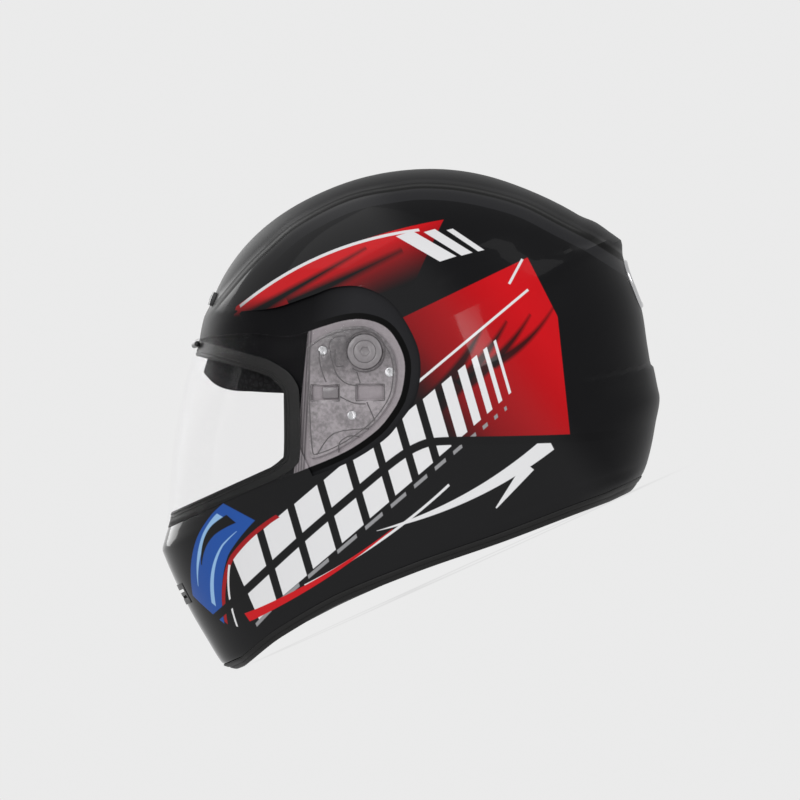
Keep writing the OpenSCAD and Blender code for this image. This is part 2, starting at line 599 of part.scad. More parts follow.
// The rear exhaust: a bright oval ring over a flat mesh
exhaust_proud = 1.8;
exhaust_deep = 12;
module exhaust_ring() color([0.8, 0.8, 0.8]) difference() {
    intersection() {
        sheet(exhaust_proud, -shell_t - 5, 98, 142, 66, 114, cols = 8, keys = fine_rows);
        at_exhaust() stadium(exhaust_w, exhaust_h, 2 * exhaust_deep);
    }
    difference() {
        sheet(seat, -shell_t - 8, 94, 146, 60, 120, cols = 10, keys = fine_rows);
        at_exhaust() stadium(exhaust_w - 8 - 2 * seat, exhaust_h - 8 - 2 * seat, 70);
    }
    at_exhaust() stadium(exhaust_w - 13, exhaust_h - 13, 80);
}
module exhaust_mesh() color([0.15, 0.15, 0.15]) at_exhaust() translate([0, 0, -4]) difference() {
    stadium(exhaust_w - 13 - 2 * seat, exhaust_h - 13 - 2 * seat, 1.2);
    for (x = [-12 : 6 : 12], y = [-6, 0, 6]) translate([x, y, 0]) cube([4.4, 4.4, 4], center = true);
}

// Plates that anchor the strap inside the shell, with their rivets
anchor_y = 0;
anchor_z = 58;
anchor_x = form_x(anchor_y - 11, anchor_z - 9, -shell_t) - seat;
anchor_t = 1.6;
rivet_z = anchor_z + 3;
rivet_r = 3;
rivet_head = [5, 1.5];
rivet_in = form_x(anchor_y, rivet_z, -shell_t) - anchor_x + shell_t / 2;
module strap_anchors() color([0.7, 0.7, 0.72]) both_sides() difference() {
    translate([anchor_x - anchor_t, anchor_y - 11, anchor_z - 9]) cube([anchor_t, 22, 18]);
    translate([0, anchor_y, rivet_z]) rotate([0, 90, 0]) cylinder(r = rivet_r + seat, h = far, $fn = 32);
}
module anchor_rivets() color([0.6, 0.6, 0.62]) both_sides()
    translate([anchor_x - anchor_t - rivet_head[1], anchor_y, rivet_z]) rotate([0, 90, 0]) {
        cylinder(r = rivet_head[0], h = rivet_head[1] - seat, $fn = 32);
        cylinder(r = rivet_r, h = rivet_head[1] + anchor_t + rivet_in, $fn = 32);
    }

// Route of the strap on the left: [x, y, z] of its middle line. It hangs from the anchor, and strap_bend
// holds the shares of the way in x, y and z from there to the buckle
buckle_x = 30;
strap_y = -40;
strap_z = 17;
strap_bend = [[0, 0, 0], [0.162, 0.179, 0.457], [0.303, 0.374, 0.611], [0.444, 0.554, 0.726],
    [0.586, 0.718, 0.829], [0.727, 0.862, 0.909], [0.869, 0.964, 0.971], [1, 1, 1]];
left_end = buckle_x + buckle_l / 2 - 2;
right_end = -12;
hang_from = [anchor_x - 8.1, anchor_y - 1, anchor_z - 23.5];
hang_to = [left_end + 4, strap_y, strap_z];
strap_hang = concat([[anchor_x - 2.9, anchor_y, anchor_z - 4], [anchor_x - 4.2, anchor_y, anchor_z - 14]],
    [for (s = strap_bend) [for (k = [0 : 2]) hang_from[k] + s[k] * (hang_to[k] - hang_from[k])]]);
left_route = concat(strap_hang, [[left_end, strap_y, strap_z]]);
right_route = concat(strap_hang, [[38, strap_y, strap_z], [-right_end + 0.2, strap_y, strap_z]]);
module strap(route, w, t, from = 0, to = -1, lift = 0) {
    n = len(route);
    spans = 8;
    rings_solid([for (i = [from : to < 0 ? n - 1 : to])
        let(d = route[min(i + 1, n - 1)] - route[max(i - 1, 0)], u = d / norm(d),
            c = [0, 1, 0] - u[1] * u, across = c / norm(c), up = cross(across, u), m = route[i] + lift * up)
        concat([for (j = [0 : spans]) m + across * w * (0.5 - j / spans) - up * t / 2],
            [for (j = [0 : spans]) m - across * w * (0.5 - j / spans) + up * t / 2])]);
}
module chin_strap_left() color([0.1, 0.1, 0.1]) strap(left_route, strap_w, strap_t);
module chin_strap_right() color([0.1, 0.1, 0.1]) mirror([1, 0, 0]) strap(right_route, strap_w, strap_t);

// Soft pads on the strap's upper side
pad_t = 3.2;
pad_lift = (strap_t + pad_t) / 2 + clear + 0.4;
module strap_pad(route) strap(route, strap_w + 2, pad_t, 3, 8, pad_lift);
module strap_pad_left() color([0.14, 0.14, 0.15]) strap_pad(left_route);
module strap_pad_right() color([0.14, 0.14, 0.15]) mirror([1, 0, 0]) strap_pad(right_route);

// The buckle: a channel, a lever on a pin with its spring, and a toothed tongue
buckle_w = strap_w + 4;
buckle_wall = 1.6;
buckle_h = 12;
tongue_t = 2.4;
pin_r = 1.5;
pin_at = [buckle_x - 8, strap_y, strap_z + 4.8];
floor_z = strap_z - tongue_t / 2 - clear - buckle_wall;
module buckle_housing() color([0.2, 0.2, 0.2]) difference() {
    translate([buckle_x - buckle_l / 2, strap_y - buckle_w / 2, floor_z]) cube([buckle_l, buckle_w, buckle_h]);
    translate([buckle_x - buckle_l / 2 - over, strap_y - buckle_w / 2 + buckle_wall, floor_z + buckle_wall])
        cube([buckle_l + 2 * over, buckle_w - 2 * buckle_wall, buckle_h]);
    translate(pin_at) rotate([90, 0, 0]) cylinder(r = pin_r, h = buckle_w + 2, center = true, $fn = 32);
}
module buckle_pin() color([0.75, 0.75, 0.77]) translate(pin_at) rotate([90, 0, 0])
    cylinder(r = pin_r, h = buckle_w, center = true, $fn = 32);
lever_w = buckle_w - 2 * buckle_wall - 2 * clear;
module buckle_lever() color([0.75, 0.1, 0.1]) difference() {
    translate(pin_at) {
        rotate([90, 0, 0]) cylinder(r = 3.3, h = lever_w, center = true, $fn = 40);
        translate([0, -lever_w / 2, 1]) cube([22, lever_w, 1.9]);
    }
    translate(pin_at) rotate([90, 0, 0]) cylinder(r = pin_r + hub_play, h = lever_w + 2, center = true, $fn = 32);
    translate(pin_at) cube([8, 9, 20], center = true);
}
module buckle_spring() color([0.6, 0.6, 0.62]) translate(pin_at) rotate([90, 0, 0]) difference() {
    cylinder(r = 2.4, h = 8, center = true, $fn = 32);
    cylinder(r = pin_r, h = 10, center = true, $fn = 32);
}
tongue_l = 46;
tooth = 2.5;
module buckle_tongue() color([0.12, 0.12, 0.12]) {
    w = buckle_w - 2 * buckle_wall - 2 * clear;
    z = strap_z - tongue_t / 2;
    translate([right_end, strap_y - w / 2, z]) cube([14, w, tongue_t]);
    translate([right_end + 13, strap_y - 8, z]) cube([tongue_l - 13, 16, 1.2]);
    for (i = [0 : 8]) translate([right_end + 18 + i * tooth, strap_y - 8, z])
        cube([tooth / 2, 16, tongue_t]);
}

outer_shell();
bottom_trim();
eyeport_gasket();
foam_liner();
chin_foam();
comfort_liner();
cheek_pad_left();
cheek_pad_right();
cheek_pad_studs();
neck_roll();
chin_curtain();
breath_guard();
visor_base_left();
visor_base_right();
pivot_hub_left();
pivot_hub_right();
base_plate_screws();
brow_vent_housing();
chin_vent_grille();
exhaust_ring();
exhaust_mesh();
strap_anchors();
anchor_rivets();
chin_strap_left();
chin_strap_right();
strap_pad_left();
strap_pad_right();
buckle_housing();
buckle_pin();
buckle_spring();
visor_shield();
visor_ring_left();
visor_ring_right();
visor_lift_tab();
release_tab_left();
release_tab_right();
brow_vent_slider();
chin_vent_shutter();
buckle_lever();
buckle_tongue();
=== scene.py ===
"""Looks of a full face motorcycle helmet: finished forms and materials for its pieces, in the part's frame.

Sizes are in millimetres and become metres where a mesh is made. +X is the wearer's left, +Y the back of the
head and +Z up. The picture's plane is the side view turned by TILT degrees about ORIGIN.
"""
import logging
import math
from dataclasses import dataclass
from enum import Enum
from functools import cache
from typing import Callable, Optional, Sequence, Union

import bpy
import numpy as np
from mathutils import Matrix, Vector


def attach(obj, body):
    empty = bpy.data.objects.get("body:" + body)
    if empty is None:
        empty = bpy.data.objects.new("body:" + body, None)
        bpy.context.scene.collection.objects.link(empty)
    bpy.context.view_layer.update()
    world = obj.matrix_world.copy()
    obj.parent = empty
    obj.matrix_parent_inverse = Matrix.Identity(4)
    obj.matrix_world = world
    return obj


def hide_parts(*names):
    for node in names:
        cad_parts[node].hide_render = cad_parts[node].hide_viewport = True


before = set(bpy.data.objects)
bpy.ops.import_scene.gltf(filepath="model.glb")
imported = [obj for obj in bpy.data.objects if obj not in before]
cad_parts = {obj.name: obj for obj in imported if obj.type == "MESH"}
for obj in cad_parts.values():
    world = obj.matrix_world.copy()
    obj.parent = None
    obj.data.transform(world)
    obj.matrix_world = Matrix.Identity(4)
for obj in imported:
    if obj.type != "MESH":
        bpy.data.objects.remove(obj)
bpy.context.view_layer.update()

log = logging.getLogger("helmet")

Array = np.ndarray
Pair = tuple[float, float]
Colour = tuple[float, float, float]
Piece = bpy.types.Object
Material = bpy.types.Material
Socket = bpy.types.NodeSocket
Value = Union[float, Sequence[float], Socket, "Num"]

MM = 0.001
TILT = 24.3
SIN, COS = math.sin(math.radians(TILT)), math.cos(math.radians(TILT))
ORIGIN = (-3.108, 151.458)
PIVOT = (-3.1, 151.5)
FAR = 230.0
BROW_Z, CHIN_Z, EXHAUST_Z = 140 + 0.71 * 118.3, 58.0, 120.5
SCREWS = ((-27, 163), (6, 133), (-27, 118))


class Side(Enum):
    """The two sides of the helmet, as the sign of X."""
    LEFT = 1
    RIGHT = -1

    def span(self, near: float, far: float) -> Pair:
        """Two places on X on this side, the lower one first."""
        return (near, far) if self is Side.LEFT else (-far, -near)


class Grain(Enum):
    """What the fine surface of a finish looks like."""
    MOULDED = "moulded"
    BEADS = "beads"
    KNIT = "knit"
    WEBBING = "webbing"
    BRUSHED = "brushed"


# Curves and lines

def flow(points: Sequence[Pair], steps: int = 4) -> Array:
    """Draws a smooth line through points, in a number of pieces between each two."""
    p = np.asarray(points, float)
    rows = []
    for i in range(len(p) - 1):
        a, b, c, d = p[max(i - 1, 0)], p[i], p[i + 1], p[min(i + 2, len(p) - 1)]
        for k in range(steps):
            s = k / steps
            rows.append(0.5 * (2 * b + (c - a) * s + (2 * a - 5 * b + 4 * c - d) * s * s
                               + (3 * b - a - 3 * c + d) * s ** 3))
    return np.array([*rows, p[-1]])


def line_offset(y: Array, z: Array, line: Array) -> tuple[Array, Array]:
    """Measures points against a line in the side view.

    Args:
        y: Places along the helmet.
        z: Heights.
        line: Points of the line.
    Returns:
        Distance to the line, positive on its left, and the share of the line's length at the nearest place.
    """
    best = np.full(y.shape, 1e9)
    signed, along = np.zeros(y.shape), np.zeros(y.shape)
    lengths = np.hypot(*np.diff(line, axis=0).T)
    total, run = lengths.sum(), 0.0
    for (y0, z0), (y1, z1), length in zip(line[:-1], line[1:], lengths):
        dy, dz = (y1 - y0) / length, (z1 - z0) / length
        t = np.clip((y - y0) * dy + (z - z0) * dz, 0, length)
        gap = np.hypot(y - y0 - t * dy, z - z0 - t * dz)
        near = gap < best
        best = np.where(near, gap, best)
        cross = dy * (z - z0) - dz * (y - y0)
        signed = np.where(near, np.where(cross >= 0, gap, -gap), signed)
        along = np.where(near, (run + t) / total, along)
        run += length
    return signed, along


def curve(table: Sequence[Pair], place: Array) -> Array:
    """Reads a smooth curve through a table of (place, value) at many places."""
    xs, ys = np.asarray(table, float).T
    slope = np.diff(ys) / np.diff(xs)
    a, b = slope[:-1], slope[1:]
    same = a * b > 0
    bend = np.concatenate([[slope[0]], np.where(same, 2 * a * b / np.where(same, a + b, 1), 0), [slope[-1]]])
    w = np.clip(place, xs[0], xs[-1])
    i = np.clip(np.searchsorted(xs, w, side="right") - 1, 0, len(xs) - 2)
    h = xs[i + 1] - xs[i]
    s = (w - xs[i]) / h
    return (ys[i] * (1 + 2 * s) * (1 - s) ** 2 + bend[i] * h * s * (1 - s) ** 2
            + ys[i + 1] * s * s * (3 - 2 * s) + bend[i + 1] * h * s * s * (s - 1))


def ease(low: float, high: float, value: Array) -> Array:
    """Rises smoothly from 0 at low to 1 at high."""
    t = np.clip((value - low) / (high - low), 0, 1)
    return t * t * (3 - 2 * t)


def to_plan(y: Union[Array, "Num"], z: Union[Array, "Num"]) -> tuple:
    """Turns places of the side view, as arrays or shader numbers, into places of the picture's plane."""
    a, b = y - ORIGIN[0], z - ORIGIN[1]
    return a * COS - b * SIN, a * SIN + b * COS


def from_plan(line: Array) -> Array:
    """Turns points of the picture's plane into points of the side view."""
    u, v = np.asarray(line, float).T
    return np.stack([u * COS + v * SIN + ORIGIN[0], v * COS - u * SIN + ORIGIN[1]], axis=-1)


@dataclass(frozen=True)
class HelmetForm:
    """The helmet's form: a level section is a superellipse, and d moves the whole form outwards."""
    crown_h: float = 258.3
    widest_h: float = 140.0
    widest_y: float = 13.0
    half_w: float = 123.5
    front_reach: float = 187.4
    rear_reach: float = 162.3
    dome_power: float = 2.15
    power: float = 2.25
    arch_rise: float = 11.9
    front_shape: tuple[Pair, ...] = (
        (0, .928), (8, .97), (24, .982), (48, .995), (72, 1), (88, .998), (96, .969), (106, .923), (120, .88),
        (140, .822), (160, .763), (180, .71), (200, .67), (220, .667), (258, .672))
    rear_shape: tuple[Pair, ...] = (
        (0, .628), (8, .709), (16, .755), (32, .826), (50, .893), (64, .903), (80, .927), (104, .967),
        (120, .98), (140, .983), (150, 1), (158, .982), (176, .939), (208, .877), (240, .835), (258, .783))
    side_shape: tuple[Pair, ...] = (
        (0, .785), (20, .842), (40, .887), (60, .923), (80, .955), (100, .98), (125, 1), (140, 1.001),
        (155, 1.008), (170, 1.02), (185, 1.032), (210, 1.045), (258, 1.05))
    arch_shape: tuple[Pair, ...] = (
        (-156, 0), (-125, .65), (-78, 1), (-34, .86), (31, .39), (75, .16), (100, 0))

    def reach(self, back: Array, z: Array, d: float) -> Array:
        """Half length of the section at a height, to the back where back is true, else to the front."""
        return np.where(back, self.rear_reach * curve(self.rear_shape, z),
                        self.front_reach * curve(self.front_shape, z)) + d

    def side(self, z: Array, d: float) -> Array:
        """Half width of the section at a height, before the dome closes."""
        return self.half_w * curve(self.side_shape, z) + d

    def dome(self, z: Array, d: float) -> Array:
        """Share of the section's size that is left at a height."""
        t = np.clip((z - self.widest_h) / (self.crown_h + d - self.widest_h), 0, 1)
        return (1 - t ** self.dome_power) ** (1 / self.dome_power)

    def arch(self, y: Array) -> Array:
        """Height of the bottom edge."""
        return self.arch_rise * curve(self.arch_shape, y)

    def point(self, a: Array, z: Array, d: Union[float, Array] = 0, e: Optional[Array] = None) -> Array:
        """Finds points of the form.

        Args:
            a: Angles round the form, 0 at the wearer's left and a quarter turn at the back.
            z: Heights.
            d: Distance outwards.
            e: The dome's share where it is already known.
        Returns:
            One row of x, y, z per point.
        """
        a, z = np.broadcast_arrays(np.asarray(a, float), np.asarray(z, float))
        e = self.dome(z, d) if e is None else e
        c, s, q = np.cos(a), np.sin(a), 2 / self.power
        x = self.side(z, d) * e * np.sign(c) * np.abs(c) ** q
        y = self.widest_y + self.reach(s > 0, z, d) * e * np.sign(s) * np.abs(s) ** q
        return np.stack([x, y, z], axis=-1)

    def rest(self, t: Array, z: Array, d: float) -> Array:
        """Share of the section that is left across a direction when t of it is used up along the other."""
        return np.maximum(0, self.dome(z, d) ** self.power - t ** self.power) ** (1 / self.power)

    def x_at(self, y: Array, z: Array, d: float = 0) -> Array:
        """Half width of the form at points of the side view."""
        y, z = np.asarray(y, float), np.asarray(z, float)
        t = np.abs(y - self.widest_y) / self.reach(y > self.widest_y, z, d)
        return self.side(z, d) * self.rest(t, z, d)

    def y_at(self, x: Array, z: Array, d: Union[float, Array] = 0, back: bool = False) -> Array:
        """Place of the form's front or back at points of the front view."""
        x, z = np.asarray(x, float), np.asarray(z, float)
        half = self.reach(np.full(z.shape, back), z, d) * self.rest(np.abs(x) / self.side(z, d), z, d)
        return self.widest_y + (half if back else -half)

    def angle_at(self, y: float, z: float, d: float = 0) -> float:
        """Angle round the form, on the left, of a point of the side view."""
        back = y > self.widest_y
        size = float(self.reach(np.array(back), np.array(z), d) * self.dome(np.array(z), d))
        a = math.asin(min(1.0, abs(y - self.widest_y) / size) ** (self.power / 2))
        return a if back else -a

    def depth(self, points: Array, d: float = 0) -> Array:
        """Is negative at points inside the form and grows outwards."""
        x, y, z = points.T
        t = np.abs(y - self.widest_y) / self.reach(y > self.widest_y, z, d)
        return (np.abs(x) / self.side(z, d)) ** self.power + t ** self.power - self.dome(z, d) ** self.power

    def outward(self, points: Array) -> Array:
        """Unit directions straight out of the form at points near it."""
        out = np.stack([self.depth(points + s) - self.depth(points - s) for s in np.eye(3) / 2], axis=-1)
        return out / np.maximum(np.linalg.norm(out, axis=1)[:, None], 1e-9)


FORM = HelmetForm()
SEAT_LINE = flow([(-66, 208), (-44, 200.5), (-20, 198), (-3, 196.5), (13, 189), (25, 173), (29, 150),
                  (26.5, 131), (15, 112), (-2, 101), (-16, 95), (-41, 91.5), (-66, 93)])
PORT_LINE = np.concatenate([[(-FAR, 106), (-86, 106)], flow(
    [(-86, 106), (-78, 108), (-73, 113), (-59.5, 143), (-57.5, 150), (-59.5, 158), (-66, 168)]),
    [(-100, 197), (-FAR, 197)]])
SEAL_LINE = np.concatenate([[(-FAR, 101), (-86, 101)], flow(
    [(-86, 101), (-74, 103), (-67, 110), (-53, 142), (-51, 150), (-53, 160), (-61, 172)]),
    [(-97, 202), (-FAR, 202)]])
SEAL_INNER = flow([(-88, 109), (-80, 111), (-76, 115), (-63, 144), (-61, 150), (-63, 157), (-69, 166),
                   (-103, 194)])
VISOR_LINE = np.concatenate([[(-FAR, 203), (-95, 203)], flow(
    [(-94, 202.9), (-65.4, 192.2), (-46.1, 181.5), (-36.8, 178.5), (-23, 177.3), (-6.6, 174.8), (5.3, 170.1),
     (15.1, 160.8), (18.5, 148), (16.8, 133.3), (6.6, 116.9), (-5.1, 108.1), (-18.3, 102.2), (-41.1, 98.4),
     (-72.4, 99.2), (-99.4, 101.5), (-126.7, 103.3)], 5), [(-FAR, 104.7)]])
PLATE_LINE = flow([(-35, 170), (-23, 172), (-5, 169.8), (6.5, 163.5), (12.3, 151), (12, 137), (3.5, 121),
                   (-8, 112), (-22, 106), (-42, 102.5), (-59, 103), (-61, 108), (-48.5, 140), (-42.5, 153),
                   (-35, 170)])
RIDGE_LINE = flow([(-88.5, 211.1), (-52.8, 228), (-31.7, 236), (-7.6, 242.7), (28.2, 244.1), (60, 236.7),
                   (78, 230), (100.3, 217.1), (126, 196.4), (144.1, 174.2), (157.6, 157.5)])
MID_LINE = flow([(-160, 36), (-144.3, 41), (-90.5, 58.9), (-50, 70.8), (-14.1, 80.6), (4.5, 82.7),
                 (17.2, 79.8), (52.5, 64.6), (93.8, 47.3), (120, 38)])


# Building blocks

def take(obj: Piece) -> None:
    """Makes an object the only selected and the active one."""
    bpy.ops.object.select_all(action="DESELECT")
    obj.select_set(True)
    bpy.context.view_layer.objects.active = obj


def edit(obj: Piece, *steps: Callable[[], object]) -> None:
    """Runs steps in edit mode with everything selected."""
    take(obj)
    bpy.ops.object.mode_set(mode="EDIT")
    bpy.ops.mesh.select_all(action="SELECT")
    for step in steps:
        step()
    bpy.ops.object.mode_set(mode="OBJECT")


def face_out() -> None:
    """Turns all faces outwards, in edit mode."""
    bpy.ops.mesh.select_all(action="SELECT")
    bpy.ops.mesh.normals_make_consistent(inside=False)


def modify(obj: Piece, kind: str, **settings: object) -> None:
    """Adds a modifier with settings and applies it."""
    mod = obj.modifiers.new(kind.lower(), kind)
    for key, value in settings.items():
        setattr(mod, key, value)
    take(obj)
    bpy.ops.object.modifier_apply(modifier=mod.name)


def named(name: str) -> Piece:
    """Names the object that was just made."""
    obj = bpy.context.active_object
    obj.name = obj.data.name = name
    return obj


def settle(obj: Piece) -> Piece:
    """Brings a piece's turn, size and place into its mesh."""
    take(obj)
    bpy.ops.object.transform_apply(location=True, rotation=True, scale=True)
    return obj


def fetch(obj: Piece, what: str) -> Array:
    """Reads a value of a mesh's points, one row each."""
    out = np.empty(len(obj.data.vertices) * 3)
    obj.data.vertices.foreach_get(what, out)
    return out.reshape(-1, 3)


def read(obj: Piece) -> Array:
    """Reads a mesh's points in millimetres, one row each."""
    return fetch(obj, "co") / MM


def write(obj: Piece, points: Array) -> None:
    """Moves a mesh's points to places in millimetres."""
    obj.data.vertices.foreach_set("co", (points * MM).ravel())
    obj.data.update()


def push(obj: Piece, by: Union[float, Callable[[Array], Array]]) -> Array:
    """Moves points along their normals by a distance, or a function of them, and gives their new places."""
    points = read(obj)
    points = points + fetch(obj, "normal") * np.reshape(by(points) if callable(by) else by, (-1, 1))
    write(obj, points)
    return points


def shut(obj: Piece, gap: float = 0.01) -> Piece:
    """Joins a mesh's doubled points, fills its open ends and turns its faces outwards."""
    edit(obj, lambda: bpy.ops.mesh.remove_doubles(threshold=gap * MM),
         lambda: bpy.ops.mesh.fill_holes(sides=0), face_out)
    return obj


def grid(name: str, columns: int, rows: int, place: Callable[[Array, Array], Array]) -> Piece:
    """Makes a closed skin whose points are placed by a function of two shares from 0 to 1."""
    bpy.ops.mesh.primitive_grid_add(x_subdivisions=columns, y_subdivisions=rows, size=2)
    obj = named(name)
    flat = read(obj) * MM
    write(obj, place((flat[:, 0] + 1) / 2, (flat[:, 1] + 1) / 2))
    return shut(obj)


def form_solid(name: str, d: float, foot: Union[float, Callable[[Array], Array]] = -10.0,
               columns: int = 180, low_rows: int = 50, dome_rows: int = 50) -> Piece:
    """Makes the solid inside the form.

    Args:
        name: Name of the object.
        d: Distance of its skin from the form.
        foot: Height of its bottom edge, or a function of the place along the helmet.
        columns: Cells round it.
        low_rows: Rows below the widest height.
        dome_rows: Rows above it.
    Returns:
        The new closed object.
    """
    knee = low_rows / (low_rows + dome_rows)

    def place(u: Array, v: Array) -> Array:
        """Points of the skin: even rows up to the widest height, then by angle to the crown."""
        a = 2 * math.pi * u - math.pi / 2
        low = np.zeros_like(u) if callable(foot) else np.full_like(u, foot)
        for _ in range(4 if callable(foot) else 0):
            low = foot(FORM.point(a, low, d)[:, 1])
        turn = np.clip((v - knee) / (1 - knee), 0, 1) * math.pi / 2
        rise = FORM.crown_h + d - FORM.widest_h
        q = 2 / FORM.dome_power
        z = np.where(v > knee, FORM.widest_h + rise * np.sin(turn) ** q,
                     low + (FORM.widest_h - low) * v / knee)
        e = np.where(v > knee, np.maximum(np.cos(turn), 0) ** q, 1.0)
        return FORM.point(a, z, d, np.where(v > 0.99999, 0.0, e))

    return grid(name, columns, low_rows + dome_rows, place)


def prism(name: str, outline: Array, low: float = -FAR, high: float = FAR) -> Piece:
    """Makes a prism across the helmet from an outline in the side view, between two places on X."""
    line = np.asarray(outline, float)
    line = line[np.hypot(*(line - np.roll(line, 1, axis=0)).T) > 0.01]
    bpy.ops.mesh.primitive_circle_add(vertices=len(line), fill_type="NGON")
    obj = named(name)
    write(obj, np.column_stack([np.full(len(line), low), line]))
    edit(obj, lambda: bpy.ops.mesh.extrude_region_move(
        TRANSFORM_OT_translate={"value": ((high - low) * MM, 0, 0)}), face_out)
    return obj


def post(name: str, radius: float, centre: Pair, low: float, high: float, sides: int = 64) -> Piece:
    """Makes a round post along X at a point of the side view."""
    bpy.ops.mesh.primitive_cylinder_add(
        vertices=sides, radius=radius * MM, depth=(high - low) * MM, rotation=(0, math.pi / 2, 0),
        location=((low + high) / 2 * MM, centre[0] * MM, centre[1] * MM))
    return settle(named(name))


def block(name: str, centre: Sequence[float], size: Sequence[float], lean: float) -> Piece:
    """Makes a box at a place, of a size, turned about X by degrees."""
    bpy.ops.mesh.primitive_cube_add(size=1, location=[c * MM for c in centre],
                                    rotation=(math.radians(lean), 0, 0), scale=[s * MM for s in size])
    return settle(named(name))


def brow_block(size: Sequence[float]) -> Piece:
    """Makes a box for the brow vent, square to the shell there."""
    low, high = (float(FORM.y_at(0, BROW_Z + h)) for h in (-4, 4))
    lean = math.degrees(math.atan2(high - low, 8))
    return block("brow", (0, float(FORM.y_at(0, BROW_Z)), BROW_Z), size, 90 - lean)


def exhaust_hole(width: float, height: float, reach: float) -> Piece:
    """Makes an upright oval bar along Y, through the shell at the exhaust."""
    back = float(FORM.y_at(0, EXHAUST_Z, 0, True))
    angles = np.linspace(0, 2 * math.pi, 64, endpoint=False) + math.pi / 64
    ring = np.stack([(width - height) / 2 * np.sign(np.cos(angles)) + height / 2 * np.cos(angles),
                     EXHAUST_Z + height / 2 * np.sin(angles)], axis=-1)
    hole = prism("exhaust", ring, back - reach, back + reach)
    hole.rotation_euler = (0, 0, math.pi / 2)
    return settle(hole)


def combine(target: Piece, tool: Piece, how: str = "DIFFERENCE") -> Piece:
    """Cuts one solid by another, or keeps what they share, and removes the tool."""
    modify(target, "BOOLEAN", operation=how, solver="MANIFOLD", object=tool)
    bpy.data.objects.remove(tool, do_unlink=True)
    if not len(target.data.vertices):
        raise RuntimeError(f"nothing is left of {target.name}")
    return target


def layer(name: str, outline: Piece, outer: tuple, inner: tuple) -> Piece:
    """Makes the layer of the form between two skins, given as for form_solid, within an outline."""
    obj = combine(form_solid(name, *outer), outline, "INTERSECT")
    return combine(obj, form_solid(name + "_back", *inner))


def join(target: Piece, other: Piece, look: Optional["Look"] = None) -> None:
    """Joins a piece into another, with a finish of its own or without one."""
    if look:
        other.data.materials.append(material(look))
    take(other)
    target.select_set(True)
    bpy.context.view_layer.objects.active = target
    bpy.ops.object.join()


def finish_edges(obj: Piece, width: float = 0.0, angle: float = 35.0) -> Piece:
    """Rounds sharp edges by a width in millimetres and shades the rest smooth."""
    if width:
        modify(obj, "BEVEL", width=width * MM, segments=2, limit_method="ANGLE",
               angle_limit=math.radians(40), use_clamp_overlap=True)
    take(obj)
    bpy.ops.object.shade_smooth_by_angle(angle=math.radians(angle))
    return obj


def copy_of(node: str, name: str) -> Piece:
    """Copies a node of the part into a mesh of its own, in place, with its doubled points joined."""
    source = bpy.data.objects[node]
    obj = bpy.data.objects.new(name, source.data.copy())
    bpy.context.scene.collection.objects.link(obj)
    obj.data.materials.clear()
    obj.matrix_world = source.matrix_world
    return shut(settle(obj), 0.005)


def soft_copy(node: str, cell: float) -> Piece:
    """Copies a node of the part into even cells of a size in millimetres."""
    obj = copy_of(node, node + "_soft")
    modify(obj, "REMESH", mode="VOXEL", voxel_size=cell * MM)
    return obj


def refined(node: str, look: "Look", round_by: float = 0.3, flat: bool = True, angle: float = 35.0) -> Piece:
    """Replaces a node by a copy of it with flat faces joined and edges rounded.

    Args:
        node: Name of the part's node.
        look: Its finish.
        round_by: Width of the rounded edges, or 0.
        flat: Whether to join triangles that lie in one plane.
        angle: Edges sharper than this stay sharp.
    Returns:
        The new piece.
    """
    obj = copy_of(node, node + "_finished")
    if flat:
        edit(obj, lambda: bpy.ops.mesh.dissolve_limited(angle_limit=math.radians(0.6)))
    return dress(finish_edges(obj, round_by, angle), look, node)


BODIES = {"visor_shield": "visor", "visor_ring_left": "visor", "visor_ring_right": "visor",
          "visor_lift_tab": "visor", "release_tab_left": "release_left", "release_tab_right": "release_right",
          "brow_vent_slider": "brow_slider", "chin_vent_shutter": "chin_shutter", "buckle_lever": "lever",
          "buckle_tongue": "tongue"}


def dress(obj: Piece, look: "Look", node: str) -> Piece:
    """Gives a piece its finish, hides the node it stands for and lets it ride on that node's body."""
    obj.data.materials.clear()
    obj.data.materials.append(material(look))
    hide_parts(node)
    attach(obj, BODIES.get(node, "helmet"))
    log.info("%s: %d faces", obj.name, len(obj.data.polygons))
    return obj


def tube(name: str, path: Array, radius: float, sides: int = 8, loop: bool = False) -> Piece:
    """Makes a round bead along a path in millimetres, with closed ends or as a loop."""
    p = np.asarray(path, float)
    ahead = np.roll(p, -1, axis=0) - np.roll(p, 1, axis=0)
    if not loop:
        ahead[0], ahead[-1] = p[1] - p[0], p[-1] - p[-2]
    ahead /= np.linalg.norm(ahead, axis=1)[:, None]
    out = p - np.array([0, FORM.widest_y, p[:, 2].mean()])
    out -= (out * ahead).sum(1)[:, None] * ahead
    out /= np.linalg.norm(out, axis=1)[:, None]
    across = np.cross(ahead, out)
    count = len(p) if loop else len(p) - 1

    def place(u: Array, v: Array) -> Array:
        """Points round the bead."""
        i = np.rint(u * count).astype(int) % len(p)
        b = 2 * math.pi * v
        return p[i] + radius * (np.cos(b)[:, None] * out[i] + np.sin(b)[:, None] * across[i])

    obj = grid(name, count, sides, place)
    take(obj)
    bpy.ops.object.shade_smooth()
    return obj


def even(path: Array, count: int, loop: bool = False) -> Array:
    """Spreads points evenly along a path."""
    p = np.vstack([path, path[:1]]) if loop else np.asarray(path)
    run = np.concatenate([[0], np.cumsum(np.linalg.norm(np.diff(p, axis=0), axis=1))])
    at = np.linspace(0, run[-1], count, endpoint=not loop)
    return np.stack([np.interp(at, run, p[:, k]) for k in range(p.shape[1])], axis=-1)


def side_path(line: Array, d: float, side: Side = Side.LEFT) -> Array:
    """Lays a line of the side view on one side of the form."""
    y, z = np.asarray(line, float).T
    return np.stack([side.value * FORM.x_at(y, z, d), y, z], axis=-1)


